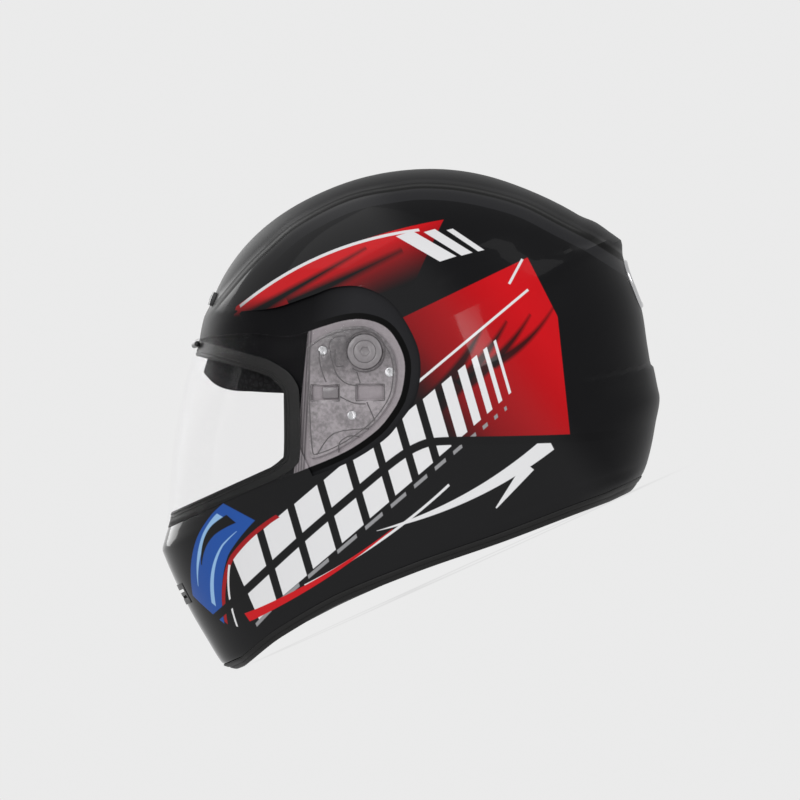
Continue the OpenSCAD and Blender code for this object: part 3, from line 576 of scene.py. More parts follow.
def port_loop(low: float, half: Array, high: float, d: float, count: int) -> Array:
    """Lays a loop round the eye port: along low across the front, up the side line, back along high."""
    first, last = FORM.angle_at(*half[0], d), FORM.angle_at(*half[-1], d)
    left = np.vstack([FORM.point(np.linspace(-math.pi / 2, first, 40), low, d)[:-1], side_path(half, d),
                      FORM.point(np.linspace(last, -math.pi / 2, 40), high, d)[1:]])
    return even(np.vstack([left, left[::-1][1:-1] * np.array([-1, 1, 1])]), count, loop=True)


# Materials

def operator(operation: str, swap: bool = False) -> Callable[["Num", Value], "Num"]:
    """Makes a sign between shader numbers, which adds one Math node."""
    def sign(self: "Num", other: Value) -> "Num":
        """Adds the node."""
        return self.nodes.math(operation, *((other, self) if swap else (self, other)))
    return sign


class Num:
    """A number or colour that flows through a node tree and takes the usual signs."""
    __add__ = __radd__ = operator("ADD")
    __mul__ = __rmul__ = operator("MULTIPLY")
    __sub__, __rsub__ = operator("SUBTRACT"), operator("SUBTRACT", swap=True)
    __truediv__ = operator("DIVIDE")

    def __init__(self, nodes: "Nodes", socket: Socket) -> None:
        """Wraps a socket of a tree."""
        self.nodes, self.socket = nodes, socket

    def __abs__(self) -> "Num":
        """The number without its sign."""
        return self.nodes.math("ABSOLUTE", self)

    def step(self, low: float, high: float) -> "Num":
        """Rises from 0 to 1 between two values."""
        return self.nodes.make("ShaderNodeMapRange", {0: self, 1: low, 2: high},
                               interpolation_type="SMOOTHSTEP")

    def fall(self, low: float, high: float) -> "Num":
        """Falls from 1 to 0 between two values."""
        return 1 - self.step(low, high)


class Nodes:
    """Places, fills and links nodes of one tree."""

    def __init__(self, tree: bpy.types.NodeTree) -> None:
        """Works on a tree."""
        self.tree = tree

    def put(self, socket: Socket, value: Value) -> None:
        """Links a socket or sets its value."""
        value = value.socket if isinstance(value, Num) else value
        if isinstance(value, Socket):
            self.tree.links.new(value, socket)
        elif hasattr(value, "__len__") and len(value) == 3 and len(socket.default_value) == 4:
            socket.default_value = [*value, 1]
        else:
            socket.default_value = value

    def fill(self, node: bpy.types.Node, inputs: dict[Union[int, str], Value]) -> None:
        """Fills a node's inputs, by number or name."""
        for key, value in inputs.items():
            self.put(node.inputs[key], value)

    def add(self, kind: str, inputs: Optional[dict] = None, **settings: object) -> bpy.types.Node:
        """Adds a node with settings and filled inputs."""
        node = self.tree.nodes.new(kind)
        for key, value in settings.items():
            setattr(node, key, value)
        self.fill(node, inputs or {})
        return node

    def make(self, kind: str, inputs: dict, output: Union[int, str] = 0, **settings: object) -> Num:
        """Adds a node and gives one of its outputs."""
        return Num(self, self.add(kind, inputs, **settings).outputs[output])

    def math(self, operation: str, *values: Value, clamp: bool = False) -> Num:
        """One sum of numbers."""
        return self.make("ShaderNodeMath", dict(enumerate(values)), operation=operation, use_clamp=clamp)

    def most(self, first: Value, *others: Value) -> Num:
        """The largest of several numbers."""
        for other in others:
            first = self.math("MAXIMUM", first, other)
        return first

    def mix(self, share: Value, a: Value, b: Value) -> Num:
        """Blends two colours."""
        return self.make("ShaderNodeMix", {0: share, 6: a, 7: b}, 2, data_type="RGBA")

    def blend(self, share: Value, a: Value, b: Value) -> Num:
        """Blends two numbers."""
        return self.make("ShaderNodeMix", {0: share, 2: a, 3: b}, data_type="FLOAT")

    def split(self, vector: Value) -> list[Num]:
        """The three numbers of a place."""
        return [Num(self, s) for s in self.add("ShaderNodeSeparateXYZ", {0: vector}).outputs]

    def noise(self, vector: Value, scale: Value, detail: float) -> Num:
        """Cloudy values from 0 to 1."""
        return self.make("ShaderNodeTexNoise", {"Vector": vector, "Scale": scale, "Detail": detail})

    def stretch(self, vector: Value, scale: Sequence[float], turn: Sequence[float] = (0, 0, 0)) -> Num:
        """Scales and turns a place."""
        return self.make("ShaderNodeMapping", {"Vector": vector, "Scale": scale,
                                               "Rotation": [math.radians(t) for t in turn]})

    def mask(self, group: bpy.types.NodeTree, place: Value, **inputs: Value) -> Num:
        """Places a group that masks part of the paintwork."""
        return self.make("ShaderNodeGroup", {"Place": place, **inputs}, "Mask", node_tree=group)

    def edge(self, place: Value, u: float, v: float, angle: float, soft: float = 0.5) -> Num:
        """Masks the left side of a straight line of the paintwork."""
        return self.mask(EDGE_GROUP, place, U=u, V=v, Angle=angle, Soft=soft)

    def grain(self, place: Value, scale: float, patches: float) -> list[Num]:
        """The shade, height and handling marks of a fine surface."""
        node = self.add("ShaderNodeGroup", {"Place": place, "Scale": scale, "Patches": patches},
                        node_tree=GRAIN_GROUP)
        return [Num(self, node.outputs[key]) for key in ("Shade", "Height", "Marks")]

    def bump(self, height: Value, distance: float) -> Num:
        """Turns a height into a normal."""
        return self.make("ShaderNodeBump", {"Height": height, "Distance": distance * MM, "Strength": 1.0})

    def show_through(self, share: Value, shader: Socket, tint: Colour = (1, 1, 1)) -> None:
        """Ends a material with a shader that a share of what lies behind shows through."""
        clear = self.add("ShaderNodeBsdfTransparent", {0: tint})
        both = self.add("ShaderNodeMixShader", {0: share, 1: shader, 2: clear.outputs[0]})
        self.put(self.tree.nodes["Material Output"].inputs[0], both.outputs[0])

    def close(self, **outputs: Value) -> bpy.types.NodeTree:
        """Ends a group with its outputs."""
        self.add("NodeGroupOutput", outputs)
        return self.tree


def new_group(name: str, outputs: Sequence[str], **inputs: float) -> tuple[Nodes, dict[str, Num]]:
    """Starts a node group and gives its Nodes and its inputs: a Place and numbers with their defaults."""
    tree = bpy.data.node_groups.new(name, "ShaderNodeTree")
    tree.interface.new_socket("Place", in_out="INPUT", socket_type="NodeSocketVector")
    for label, value in inputs.items():
        tree.interface.new_socket(label, in_out="INPUT", socket_type="NodeSocketFloat").default_value = value
    for label in outputs:
        tree.interface.new_socket(label, in_out="OUTPUT", socket_type="NodeSocketFloat")
    n = Nodes(tree)
    return n, {s.name: Num(n, s) for s in n.add("NodeGroupInput").outputs}


def slash_group() -> bpy.types.NodeTree:
    """Builds the group that masks one leaning, tapering, bowed bar of the paintwork."""
    n, i = new_group("Slash", ("Mask",), U=0.0, V=0.0, Angle=0.0, Length=50.0, Width=5.0, Taper=0.0, Lean=0.0,
                     Bow=0.0, Soft=0.5, End=0.5)
    u, v, _ = n.split(i["Place"])
    u, v, turn = u - i["U"], v - i["V"], n.math("RADIANS", i["Angle"])
    c, s = n.math("COSINE", turn), n.math("SINE", turn)
    along = u * c + v * s
    share = along / i["Length"]
    across = v * c - u * s + i["Bow"] * (share * share)
    width = i["Width"] * (1 + i["Taper"] * share)
    over = n.math("ADD", 0.5, (width - abs(across)) / i["Soft"], clamp=True)
    ends = n.math("ADD", 0.5, (i["Length"] - abs(along - across * i["Lean"])) / i["End"], clamp=True)
    return n.close(Mask=over * ends)


def edge_group() -> bpy.types.NodeTree:
    """Builds the group that masks one side of a straight line of the paintwork."""
    n, i = new_group("Edge", ("Mask",), U=0.0, V=0.0, Angle=0.0, Soft=0.5)
    u, v, _ = n.split(i["Place"])
    turn = n.math("RADIANS", i["Angle"])
    across = (v - i["V"]) * n.math("COSINE", turn) - (u - i["U"]) * n.math("SINE", turn)
    return n.close(Mask=n.math("ADD", 0.5, across / i["Soft"], clamp=True))


def grain_group() -> bpy.types.NodeTree:
    """Builds the group for the fine unevenness that every finish has: handling marks and a fine grain."""
    n, i = new_group("Grain", ("Shade", "Height", "Marks"), Scale=900.0, Patches=18.0)
    fine, broad = n.noise(i["Place"], i["Scale"], 4), n.noise(i["Place"], i["Patches"], 5)
    return n.close(Shade=fine * 0.5 + broad * 0.5, Height=fine, Marks=broad.step(0.35, 0.7))


SLASH_GROUP, EDGE_GROUP, GRAIN_GROUP = slash_group(), edge_group(), grain_group()


def start(name: str) -> tuple[Material, Nodes, bpy.types.Node, Num]:
    """Starts a material and gives it, its Nodes, its Principled shader and the object's own place."""
    mat = bpy.data.materials.new(name)
    mat.use_nodes = True
    n = Nodes(mat.node_tree)
    return mat, n, mat.node_tree.nodes["Principled BSDF"], n.make("ShaderNodeTexCoord", {}, "Object")


def flange(n: Nodes, u: Num, v: Num) -> Num:
    """Masks the dark, finely ribbed strip ahead of a base plate."""
    ahead = u - v * 0.054
    return ahead.fall(-34.2, -33.4) * n.blend(abs(n.math("SINE", ahead * 1.9)), 0.9, 0.35)


@dataclass(frozen=True)
class Finish:
    """A plain finish: its two shades, its gloss and its grain."""
    name: str
    dark: Colour
    light: Colour
    gloss: Pair = (0.4, 0.55)
    grain: Grain = Grain.MOULDED
    scale: float = 900.0
    depth: float = 0.05
    metallic: float = 0.0
    specular: float = 0.4
    sheen: float = 0.0

    def build(self) -> Material:
        """Builds the material, with colour, gloss and surface that vary over the piece."""
        mat, n, shader, place = start(self.name)
        shade, height, marks = n.grain(place, self.scale, 18.0)
        # Beads, knit and webbing multiply their colour by their height: painted shade in the hollows between
        # beads, loops and threads.
        if self.grain is Grain.BEADS:
            height = n.make("ShaderNodeTexVoronoi", {"Vector": place, "Scale": 260}, "Distance",
                            feature="DISTANCE_TO_EDGE").step(0.0, 0.22)
            shade = (shade + 0.35) * height
        elif self.grain is Grain.KNIT:
            loops = n.stretch(place, (620, 620, 900), (20, 10, 35))
            height = 1 - n.make("ShaderNodeTexVoronoi", {"Vector": loops, "Scale": 1.0, "Randomness": 0.35},
                                "Distance", feature="F1")
            shade = (shade + 0.3) * height
        elif self.grain is Grain.WEBBING:
            warp = n.make("ShaderNodeTexWave", {"Vector": place, "Scale": 130}, "Fac", bands_direction="Y")
            weft = n.make("ShaderNodeTexWave", {"Vector": n.stretch(place, (1, 0.35, 1)), "Scale": 170}, "Fac",
                          bands_direction="DIAGONAL")
            height = warp * 0.6 + weft * 0.4
            shade = (shade + 0.3) * height
        elif self.grain is Grain.BRUSHED:
            height = n.noise(n.stretch(place, (60, 2400, 2400)), 1.0, 2.0)
            shade = height * 0.6 + shade * 0.4
        n.fill(shader, {
            "Base Color": n.mix(shade, self.dark, self.light), "Roughness": n.blend(marks, *self.gloss),
            "Metallic": self.metallic, "Specular IOR Level": self.specular, "Sheen Weight": self.sheen,
            "Normal": n.bump(height, self.depth)})
        return mat


@dataclass(frozen=True)
class PlateFinish:
    """Moulded translucent grey: cloudy, with painted shade over its upper part round the pivot and painted light
    towards its foot.
    """
    name: str = "pod_plate"
    # high is the darker pair and low the paler pair: painted shade above, painted light towards the foot.
    high: tuple[Colour, Colour] = ((0.10, 0.093, 0.096), (0.21, 0.192, 0.2))
    low: tuple[Colour, Colour] = ((0.19, 0.176, 0.182), (0.36, 0.33, 0.345))
    rib: Colour = (0.055, 0.05, 0.053)

    def build(self) -> Material:
        """Builds the material."""
        mat, n, shader, place = start(self.name)
        shade, height, marks = n.grain(place, 380.0, 42.0)
        _, y, z = n.split(place)
        u, v = to_plan(y * (1 / MM), z * (1 / MM))
        shade = shade.step(0.36, 0.64)
        # The upper part takes the darker pair and the foot the paler pair: painted shade and painted light.
        colour = n.mix(v.step(-32.0, 4.0), n.mix(shade, *self.low), n.mix(shade, *self.high))
        n.fill(shader, {"Base Color": n.mix(flange(n, u, v), colour, self.rib),
                        "Roughness": n.blend(marks, 0.28, 0.42), "Specular IOR Level": 0.4,
                        "Normal": n.bump(height, 0.03)})
        return mat


@dataclass(frozen=True)
class ClearFinish:
    """Clear polycarbonate: nearly invisible, with faint handling marks in its gloss."""
    name: str = "clear_visor"
    tint: Colour = (0.975, 0.965, 0.97)
    ior: float = 1.3
    thin: float = 0.992

    def build(self) -> Material:
        """Builds the material; lamps shine through it as through a plain clear sheet."""
        mat, n, shader, place = start(self.name)
        marks = n.grain(place, 60.0, 9.0)[2]
        n.fill(shader, {"Base Color": n.mix(marks, self.tint, [c * 0.985 for c in self.tint]),
                        "Roughness": n.blend(marks, 0.0, 0.015), "Transmission Weight": 1.0, "IOR": self.ior})
        shadow = n.make("ShaderNodeLightPath", {}, "Is Shadow Ray")
        n.show_through(n.most(shadow, self.thin), shader.outputs[0], (0.995, 0.994, 0.995))
        return mat


@dataclass(frozen=True)
class EdgeHighlightFinish:
    """The shield's cut edge: pale grey and partly see-through, a painted highlight, so that it shows as a pale
    line.
    """
    name: str = "visor_edge"
    clear: float = 0.3

    def build(self) -> Material:
        """Builds the material."""
        mat, n, shader, place = start(self.name)
        shade, _, marks = n.grain(place, 300.0, 40.0)
        # Pale grey base colour: the painted highlight along the cut edge.
        n.fill(shader, {"Base Color": n.mix(shade, (0.3, 0.29, 0.295), (0.62, 0.6, 0.61)),
                        "Roughness": n.blend(marks, 0.3, 0.5)})
        n.show_through(self.clear, shader.outputs[0])
        return mat


@dataclass(frozen=True)
class Bar:
    """One painted bar: its middle, turn and size in the picture's plane, in millimetres."""
    u: float
    v: float
    angle: float
    length: float
    width: float
    colour: Colour
    taper: float = 0.0
    lean: float = 0.0
    bow: float = 0.0
    soft: float = 0.4
    end: float = 0.5

    def mask(self, n: Nodes, plan: Value) -> Num:
        """Masks the bar on the paintwork."""
        return n.mask(SLASH_GROUP, plan, **{k.capitalize(): v for k, v in vars(self).items() if k != "colour"})

    def paint(self, n: Nodes, plan: Value, under: Value) -> Num:
        """Paints the bar over a colour."""
        return n.mix(self.mask(n, plan), under, self.colour)


WHITE, GREY = (0.78, 0.78, 0.79), (0.30, 0.30, 0.31)
RED, DEEP_RED = (0.60, 0.0075, 0.012), (0.13, 0.006, 0.009)
BLUE, PALE_BLUE = (0.016, 0.085, 0.37), (0.30, 0.52, 0.80)
BLACK, CHARCOAL = (0.0065, 0.0065, 0.0072), (0.021, 0.021, 0.023)


@dataclass(frozen=True)
class Livery:
    """Generic racing paintwork: red fields, a run of slanted white bars and thin lines on black."""
    run_from: Pair = (-78.0, -151.0)
    run_angle: float = 40.5
    run_half: float = 21.0
    run_bars: tuple[Pair, ...] = (
        (10, 10.5), (36, 10), (61, 9.5), (85, 9), (107.5, 8), (128, 7), (146.5, 6), (163, 5), (177.5, 4),
        (190, 3), (200.5, 2.2), (209.5, 1.5), (217.5, 1))
    blade: Bar = Bar(-27, 42, 24, 70, 17, RED, taper=0.12, lean=0.9, bow=8, soft=0.5)
    bars: tuple[Bar, ...] = (
        Bar(-44, 40, 30, 52, 2.2, BLACK, taper=-0.8, soft=3),
        Bar(-12, 47, 26, 40, 2.6, BLACK, taper=-0.7, soft=4),
        Bar(-26, 61.5, 23, 62, 0.9, WHITE, bow=9),
        Bar(39, 67, 18, 5.5, 12, WHITE, lean=-0.9),
        Bar(53, 69.5, 16, 3.6, 10.5, WHITE, lean=-0.9),
        Bar(64, 71, 14, 2, 9, WHITE, lean=-0.9),
        Bar(64, 6, 40, 52, 0.8, WHITE),
        Bar(96, 51, 62, 9, 0.8, WHITE),
        Bar(66, -92, 27, 62, 2.6, WHITE, taper=0.95, bow=-7),
        Bar(94, -86, 52, 17, 2.2, WHITE, taper=0.8),
        Bar(10, -120, 35, 56, 0.8, WHITE, bow=-4),
        Bar(-30, -146, 31, 58, 1.6, RED, taper=-0.9, bow=-4),
        Bar(-105, -134, 62, 40, 13.5, BLUE, taper=-0.15, bow=7, soft=0.5),
        Bar(-111, -128, 60, 30, 1.6, PALE_BLUE, taper=0.85, bow=5, soft=0.6),
        Bar(-101, -138, 62, 30, 1.1, PALE_BLUE, taper=-0.85, bow=6, soft=0.6),
        Bar(-103, -120, 50, 22, 2.2, BLACK, taper=0.8, bow=5, soft=0.6),
        Bar(-88, -136, 58, 44, 1.5, (0.36, 0.008, 0.012), bow=11),
        Bar(-93, -158, 84, 22, 0.8, WHITE, bow=3))

    def rear_panel(self, n: Nodes, plan: Value, crease: Num, colour: Num) -> Num:
        """Paints the red panel behind the pod, which fades to black at its lower front."""
        fade = n.edge(plan, 72.0, -12.0, -52.0, 92.0)
        glow = n.mix(fade.step(0.0, 0.35), BLACK, n.mix(fade, [c * 0.5 for c in DEEP_RED], RED))
        for k in range(4):
            bar = Bar(52.0 + 17 * k, -20.0 + 9 * k, 52.0 - 3 * k, 42.0 - 5 * k, 4.2 - 0.8 * k, BLACK, -0.85,
                      bow=-4.0, soft=2.5)
            glow = n.mix(bar.mask(n, plan) * 0.92, glow, BLACK)
        within = n.edge(plan, 26.0, 22.5, 205.8)
        for line in ((106.0, 55.0, -63.0), (125.0, 0.0, -84.0)):
            within = within * (1 - n.edge(plan, *line))
        return n.mix(within * crease.step(-0.3, 0.3), colour, glow)

    def bar_run(self, n: Nodes, plan: Value, colour: Num) -> Num:
        """Paints the run of white bars, each with a grey one under it."""
        c, s = math.cos(math.radians(self.run_angle)), math.sin(math.radians(self.run_angle))
        for along, half in self.run_bars:
            u, v = self.run_from[0] + along * c, self.run_from[1] + along * s
            colour = Bar(u, v, self.run_angle, half, self.run_half * (1 - 0.0011 * along), WHITE, lean=0.45,
                         end=0.4).paint(n, plan, colour)
            colour = Bar(u + 3.2 * s, v - 3.2 * c - 24.0, self.run_angle, half * 0.9, 1.1, GREY, lean=0.45,
                         soft=0.5).paint(n, plan, colour)
        return colour

    def paint(self, n: Nodes, plan: Value, crease: Num, colour: Num) -> Num:
        """Paints the whole livery over a colour."""
        colour = self.rear_panel(n, plan, crease, colour)
        blade = self.blade
        low = n.edge(plan, blade.u - 8.0, blade.v - 10.0, blade.angle, 30.0)
        colour = n.mix(blade.mask(n, plan), colour, n.mix(low, BLACK, n.mix(low, DEEP_RED, blade.colour)))
        colour = self.bar_run(n, plan, colour)
        for bar in self.bars:
            colour = bar.paint(n, plan, colour)
        return colour


@dataclass(frozen=True)
class ShellPaint:
    """The shell's paint: the livery under lacquer, satin zones, a charcoal border round the pods, raw inside, and
    painted shade and a painted highlight along the crest.
    """
    name: str = "shell_paint"
    livery: Livery = Livery()
    gloss: float = 0.1
    satin: float = 0.42

    def build(self) -> Material:
        """Builds the material, which reads the distances kept on the shell's points."""
        mat, n, shader, place = start(self.name)

        def kept(name: str, output: str = "Fac") -> Num:
            """Reads a value kept on the mesh."""
            return n.make("ShaderNodeAttribute", {}, output, attribute_type="GEOMETRY", attribute_name=name)

        plan = kept("plan", "Vector")
        crease, ridge, pod, lens, rear, inner = map(kept, ("crease", "ridge", "pod", "lens", "rear", "inner"))
        shade, height, marks = n.grain(place, 420.0, 7.0)
        colour = n.mix(shade, BLACK, [c * 1.25 for c in BLACK])
        colour = self.livery.paint(n, plan, crease, colour)
        front = (1 - n.edge(plan, -48.0, 29.0, 0.0, 14.0)) * (
            n.edge(plan, -8.0, 0.0, 90.0, 20.0) * n.edge(plan, 0.0, -62.0, 0.0, 2.0))
        # A near-black line painted on the crest's slope: painted shade in the crest's groove.
        brow = abs(ridge - 1.2).fall(1.7, 2.3)
        # A charcoal band painted under the crest: a painted highlight where the crest's edge faces up.
        under = ridge.step(-8.4, -7.8) * ridge.fall(-1.2, -0.7) * (1 - n.edge(plan, -40.0, 0.0, 90.0, 50.0))
        ring = pod.fall(-0.2, 0.2)
        within = lens.fall(-0.4, 0.2) * (1 - n.edge(plan, -36.2, 10.9, 84.3, 0.6))
        ahead = ring * n.edge(plan, -22.0, 10.0, 84.0, 26.0) * (1 - within)
        u, v, _ = n.split(plan)
        # Coats in order; under is the painted highlight band and brow the painted shade line along the crest.
        coats = (
            (front, BLACK), (under, CHARCOAL), (brow, (0.003, 0.003, 0.003)), (abs(crease).fall(2.3, 2.9), BLACK),
            (ring, CHARCOAL), (ring * abs(lens - 1.6).fall(2.0, 2.5), (0.004, 0.004, 0.004)),
            (within, n.mix(shade, (0.24, 0.22, 0.23), (0.44, 0.4, 0.42))),
            (within * flange(n, u, v), PlateFinish.rib), (ahead, BLACK),
            (inner, n.mix(shade, (0.02, 0.02, 0.02), (0.05, 0.05, 0.05))))
        for mask, coat in coats:
            colour = n.mix(mask, colour, coat)
        satin = n.most(ridge.step(0.0, 6.0), ring, rear * 0.85, inner, front, brow)
        n.fill(shader, {
            "Base Color": colour, "Roughness": n.blend(satin, self.gloss, self.satin) + marks * 0.02,
            "Coat Weight": n.blend(satin, 0.3, 0.0), "Coat Roughness": 0.04, "Specular IOR Level": 0.03,
            "Normal": n.bump(height, 0.004)})
        return mat


class Look(Enum):
    """Every finish of the helmet."""
    PAINT = ShellPaint()
    CLEAR = ClearFinish()
    EDGE = EdgeHighlightFinish()
    PLATE = PlateFinish()
    RUBBER = Finish("rim_rubber", (0.007, 0.007, 0.007), (0.018, 0.018, 0.018), (0.5, 0.7), scale=1400,
                    specular=0.2)
    FOAM = Finish("foam_beads", (0.006, 0.006, 0.0065), (0.014, 0.014, 0.015), (0.75, 0.9), Grain.BEADS,
                  depth=0.08, specular=0.1)
    KNIT = Finish("liner_knit", (0.006, 0.006, 0.007), (0.028, 0.028, 0.03), (0.8, 0.95), Grain.KNIT,
                  depth=0.25, specular=0.15, sheen=0.15)
    BLACK = Finish("black_plastic", (0.010, 0.010, 0.011), (0.026, 0.026, 0.027), (0.34, 0.5), scale=1600,
                   depth=0.03, specular=0.35)
    RIB = Finish("pod_rib", (0.06, 0.055, 0.057), (0.14, 0.13, 0.134), (0.3, 0.42), scale=500, depth=0.02,
                 specular=0.45)
    RING = Finish("pod_ring", (0.13, 0.12, 0.125), (0.28, 0.26, 0.27), (0.2, 0.32), scale=500, depth=0.015,
                  specular=0.5)
    BRIGHT = Finish("bright_trim", (0.42, 0.42, 0.43), (0.6, 0.6, 0.61), (0.16, 0.28), scale=300, depth=0.01,
                    metallic=0.85)
    STEEL = Finish("zinc_steel", (0.32, 0.32, 0.33), (0.62, 0.62, 0.63), (0.28, 0.42), Grain.BRUSHED,
                   depth=0.01, metallic=1.0)
    WEBBING = Finish("webbing", (0.006, 0.006, 0.006), (0.03, 0.03, 0.031), (0.6, 0.75), Grain.WEBBING,
                     depth=0.3, specular=0.25, sheen=0.1)
    RED = Finish("red_plastic", (0.36, 0.006, 0.008), (0.55, 0.014, 0.018), (0.25, 0.38), scale=700,
                 depth=0.02, specular=0.45)


@cache
def material(look: Look) -> Material:
    """Builds a finish when it is first used."""
    return look.value.build()


# The pieces

@dataclass(frozen=True)
class Crease:
    """A line pressed into the shell: a groove, a step on its right or left, and how far the step fades."""
    line: Array
    groove: float = 0.0
    width: float = 2.4
    step: float = 0.0
    sharp: float = 3.0
    fade: float = 40.0
    ends: float = 0.12

    def lift(self, points: Array) -> Array:
        """How far points move outwards."""
        off, along = line_offset(points[:, 1], points[:, 2], self.line)
        hold = ease(0, self.ends, np.minimum(along, 1 - along))
        side = ease(0, self.sharp, off if self.fade > 0 else -off)
        away = 1 - ease(0.25, 1.0, np.abs(off) / abs(self.fade))
        return hold * (self.step * side * away - self.groove * np.exp(-(off / self.width) ** 2))


CREASES = (
    Crease(RIDGE_LINE, groove=0.4, width=1.3, step=-2.0, sharp=4.5, fade=48.0, ends=0.05),
    Crease(MID_LINE, groove=0.9, width=2.6, step=-0.9, sharp=4.0, fade=-34.0),
    Crease(flow([(30, 19.5), (42.2, 18.6), (81.9, 16.2), (114.1, 12.9), (129, 11.7)]), groove=0.5, width=2.0,
           step=0.5, sharp=3.0, fade=-12.0),
    Crease(flow([(38, 170.5), (44.8, 172), (80, 176), (117.6, 177.7), (144.1, 174.2)]), groove=0.3, width=2.0,
           step=-0.9, sharp=4.0, fade=-30.0, ends=0.2),
    Crease(flow([(120, 161), (145.9, 156.5), (173, 152.7), (186, 151)]), step=2.0, sharp=2.0, fade=-18.0,
           ends=0.3),
    Crease(flow([(110, 81), (131.7, 75.2), (158.8, 69.9), (172, 67)]), step=2.2, sharp=2.0, fade=-19.0,
           ends=0.3))


class Shell:
    """The hard shell with its pressed lines, openings and paint."""

    def build(self) -> Piece:
        """Builds the shell, with the distances that its paint needs kept on its points."""
        shell = form_solid("shell", 0, lambda y: FORM.arch(y) + 2.0, 330, 70, 72)
        push(shell, lambda p: sum(crease.lift(p) for crease in CREASES))
        combine(shell, form_solid("hollow", -4.5, -10.0, 150, 36, 36))
        combine(shell, prism("port", PORT_LINE))
        seat = prism("seat", SEAT_LINE)
        floor = form_solid("seat_floor", -2.4, -10.0, 240, 60, 50)
        push(floor, lambda p: 2.7 * (ease(-40, -64, p[:, 1]) * ease(158, 175, p[:, 2])))
        combine(seat, floor)
        combine(shell, seat)
        for side in Side:
            combine(shell, post("hub_hole", 7.05, PIVOT, *side.span(100.0, 140.0)))
            for at in SCREWS:
                combine(shell, post("screw_hole", 1.55, at, *side.span(100.0, 140.0), sides=24))
        combine(shell, brow_block((48, 9, 30)))
        combine(shell, block("chin", (0, float(FORM.y_at(0, CHIN_Z)), CHIN_Z), (56, 14, 30), 90))
        combine(shell, exhaust_hole(44, 25, 20))
        finish_edges(shell, angle=32)
        self.keep_distances(shell)
        return dress(shell, Look.PAINT, "outer_shell")

    @staticmethod
    def keep_distances(shell: Piece) -> None:
        """Keeps what the paint needs on the shell's points."""
        p = read(shell)
        x, y, z = p.T
        front = np.maximum(0, 78 - np.abs(x)) * ease(-40, -130, y) * 0.55
        back = np.maximum(0, 70 - np.abs(x)) * ease(60, 130, y) * 0.55
        plan = np.stack([*to_plan(y - front + back, z), np.abs(x)], axis=-1)
        shell.data.attributes.new("plan", "FLOAT_VECTOR", "POINT").data.foreach_set("vector", plan.ravel())
        crest = np.vstack([(-112, 100), (-95, 190), (-91.5, 203), RIDGE_LINE, (190, 110)])
        values = {
            "crease": line_offset(y, z, MID_LINE)[0],
            "ridge": np.where((y < -57) & (z < 150), -30.0, line_offset(y, z, crest)[0]),
            "pod": line_offset(y, z, np.vstack([SEAT_LINE, SEAT_LINE[:1]]))[0],
            "lens": line_offset(y, z, VISOR_LINE)[0],
            "rear": ease(52, 80, y - 0.25 * (150 - z)),
            "inner": FORM.depth(p, -3.2) < 0}
        for name, value in values.items():
            kept = shell.data.attributes.new(name, "FLOAT", "POINT")
            kept.data.foreach_set("value", value.astype(np.float32))


@dataclass
class Rims:
    """The rubber profiles along the bottom edge and round the eye port."""
    lip: float = 1.2
    wall: float = 4.5
    high: float = 6.0

    def bottom(self) -> Piece:
        """Builds the bottom profile: a U over the shell's edge with a rounded foot and a bead."""
        i = -self.wall
        section = np.array([(0.05, 2.0), (0.05, self.high), (0.6, self.high + 0.1), (1.0, self.high - 0.3),
                            (self.lip, self.high - 0.9), (self.lip, 3.6), (self.lip - 0.35, 3.3),
                            (self.lip - 0.35, 2.9), (self.lip, 2.6), (self.lip, 1.2), (0.9, 0.45), (0.2, 0.05),
                            (-1.2, 0), (i + 0.9, 0), (i - 0.2, 0.05), (i - 0.9, 0.45), (i - self.lip, 1.2),
                            (i - self.lip, self.high - 0.6), (i - 0.6, self.high), (i - 0.05, self.high),
                            (i - 0.05, 2.0), (i / 2, 2.0)])

        def place(u: Array, v: Array) -> Array:
            """Points of the profile round the edge."""
            d, h = section[np.rint(v * len(section)).astype(int) % len(section)].T
            z = np.zeros_like(u)
            for _ in range(3):
                rows = FORM.point(2 * math.pi * u, z, d)
                z = FORM.arch(rows[:, 1]) + h
            return np.column_stack([rows[:, :2], z])

        obj = grid("rim_profile", 260, len(section), place)
        return dress(finish_edges(obj, angle=50), Look.RUBBER, "bottom_trim")

    @staticmethod
    def port() -> Piece:
        """Builds the eye port's seal: a lipped frame with two fine beads."""
        opening = np.concatenate([[(-FAR, 109)], SEAL_INNER, [(-FAR, 194)]])
        seal = layer("port_seal", prism("seal_outline", SEAL_LINE), (0.4, -10, 260, 60, 60),
                     (-7.5, -10, 200, 50, 50))
        combine(seal, prism("seal_opening", opening))
        wall = form_solid("seal_wall", 0.05, -12, 200, 50, 50)
        combine(wall, form_solid("seal_wall_back", -4.55, -14, 200, 50, 50))
        combine(wall, prism("seal_port", PORT_LINE))
        combine(seal, wall)
        finish_edges(seal, 0.35, 40)
        ahead = np.gradient(SEAL_INNER, axis=0)
        out = np.column_stack([ahead[:, 1], -ahead[:, 0]]) / np.linalg.norm(ahead, axis=1)[:, None]
        for inset, d, radius in ((1.2, 0.35, 0.5), (3.2, 0.25, 0.45)):
            path = port_loop(109 - inset, flow(SEAL_INNER + inset * out), 194 + inset, d, 260)
            join(seal, tube("seal_bead", path, radius, loop=True))
        return dress(seal, Look.RUBBER, "eyeport_gasket")


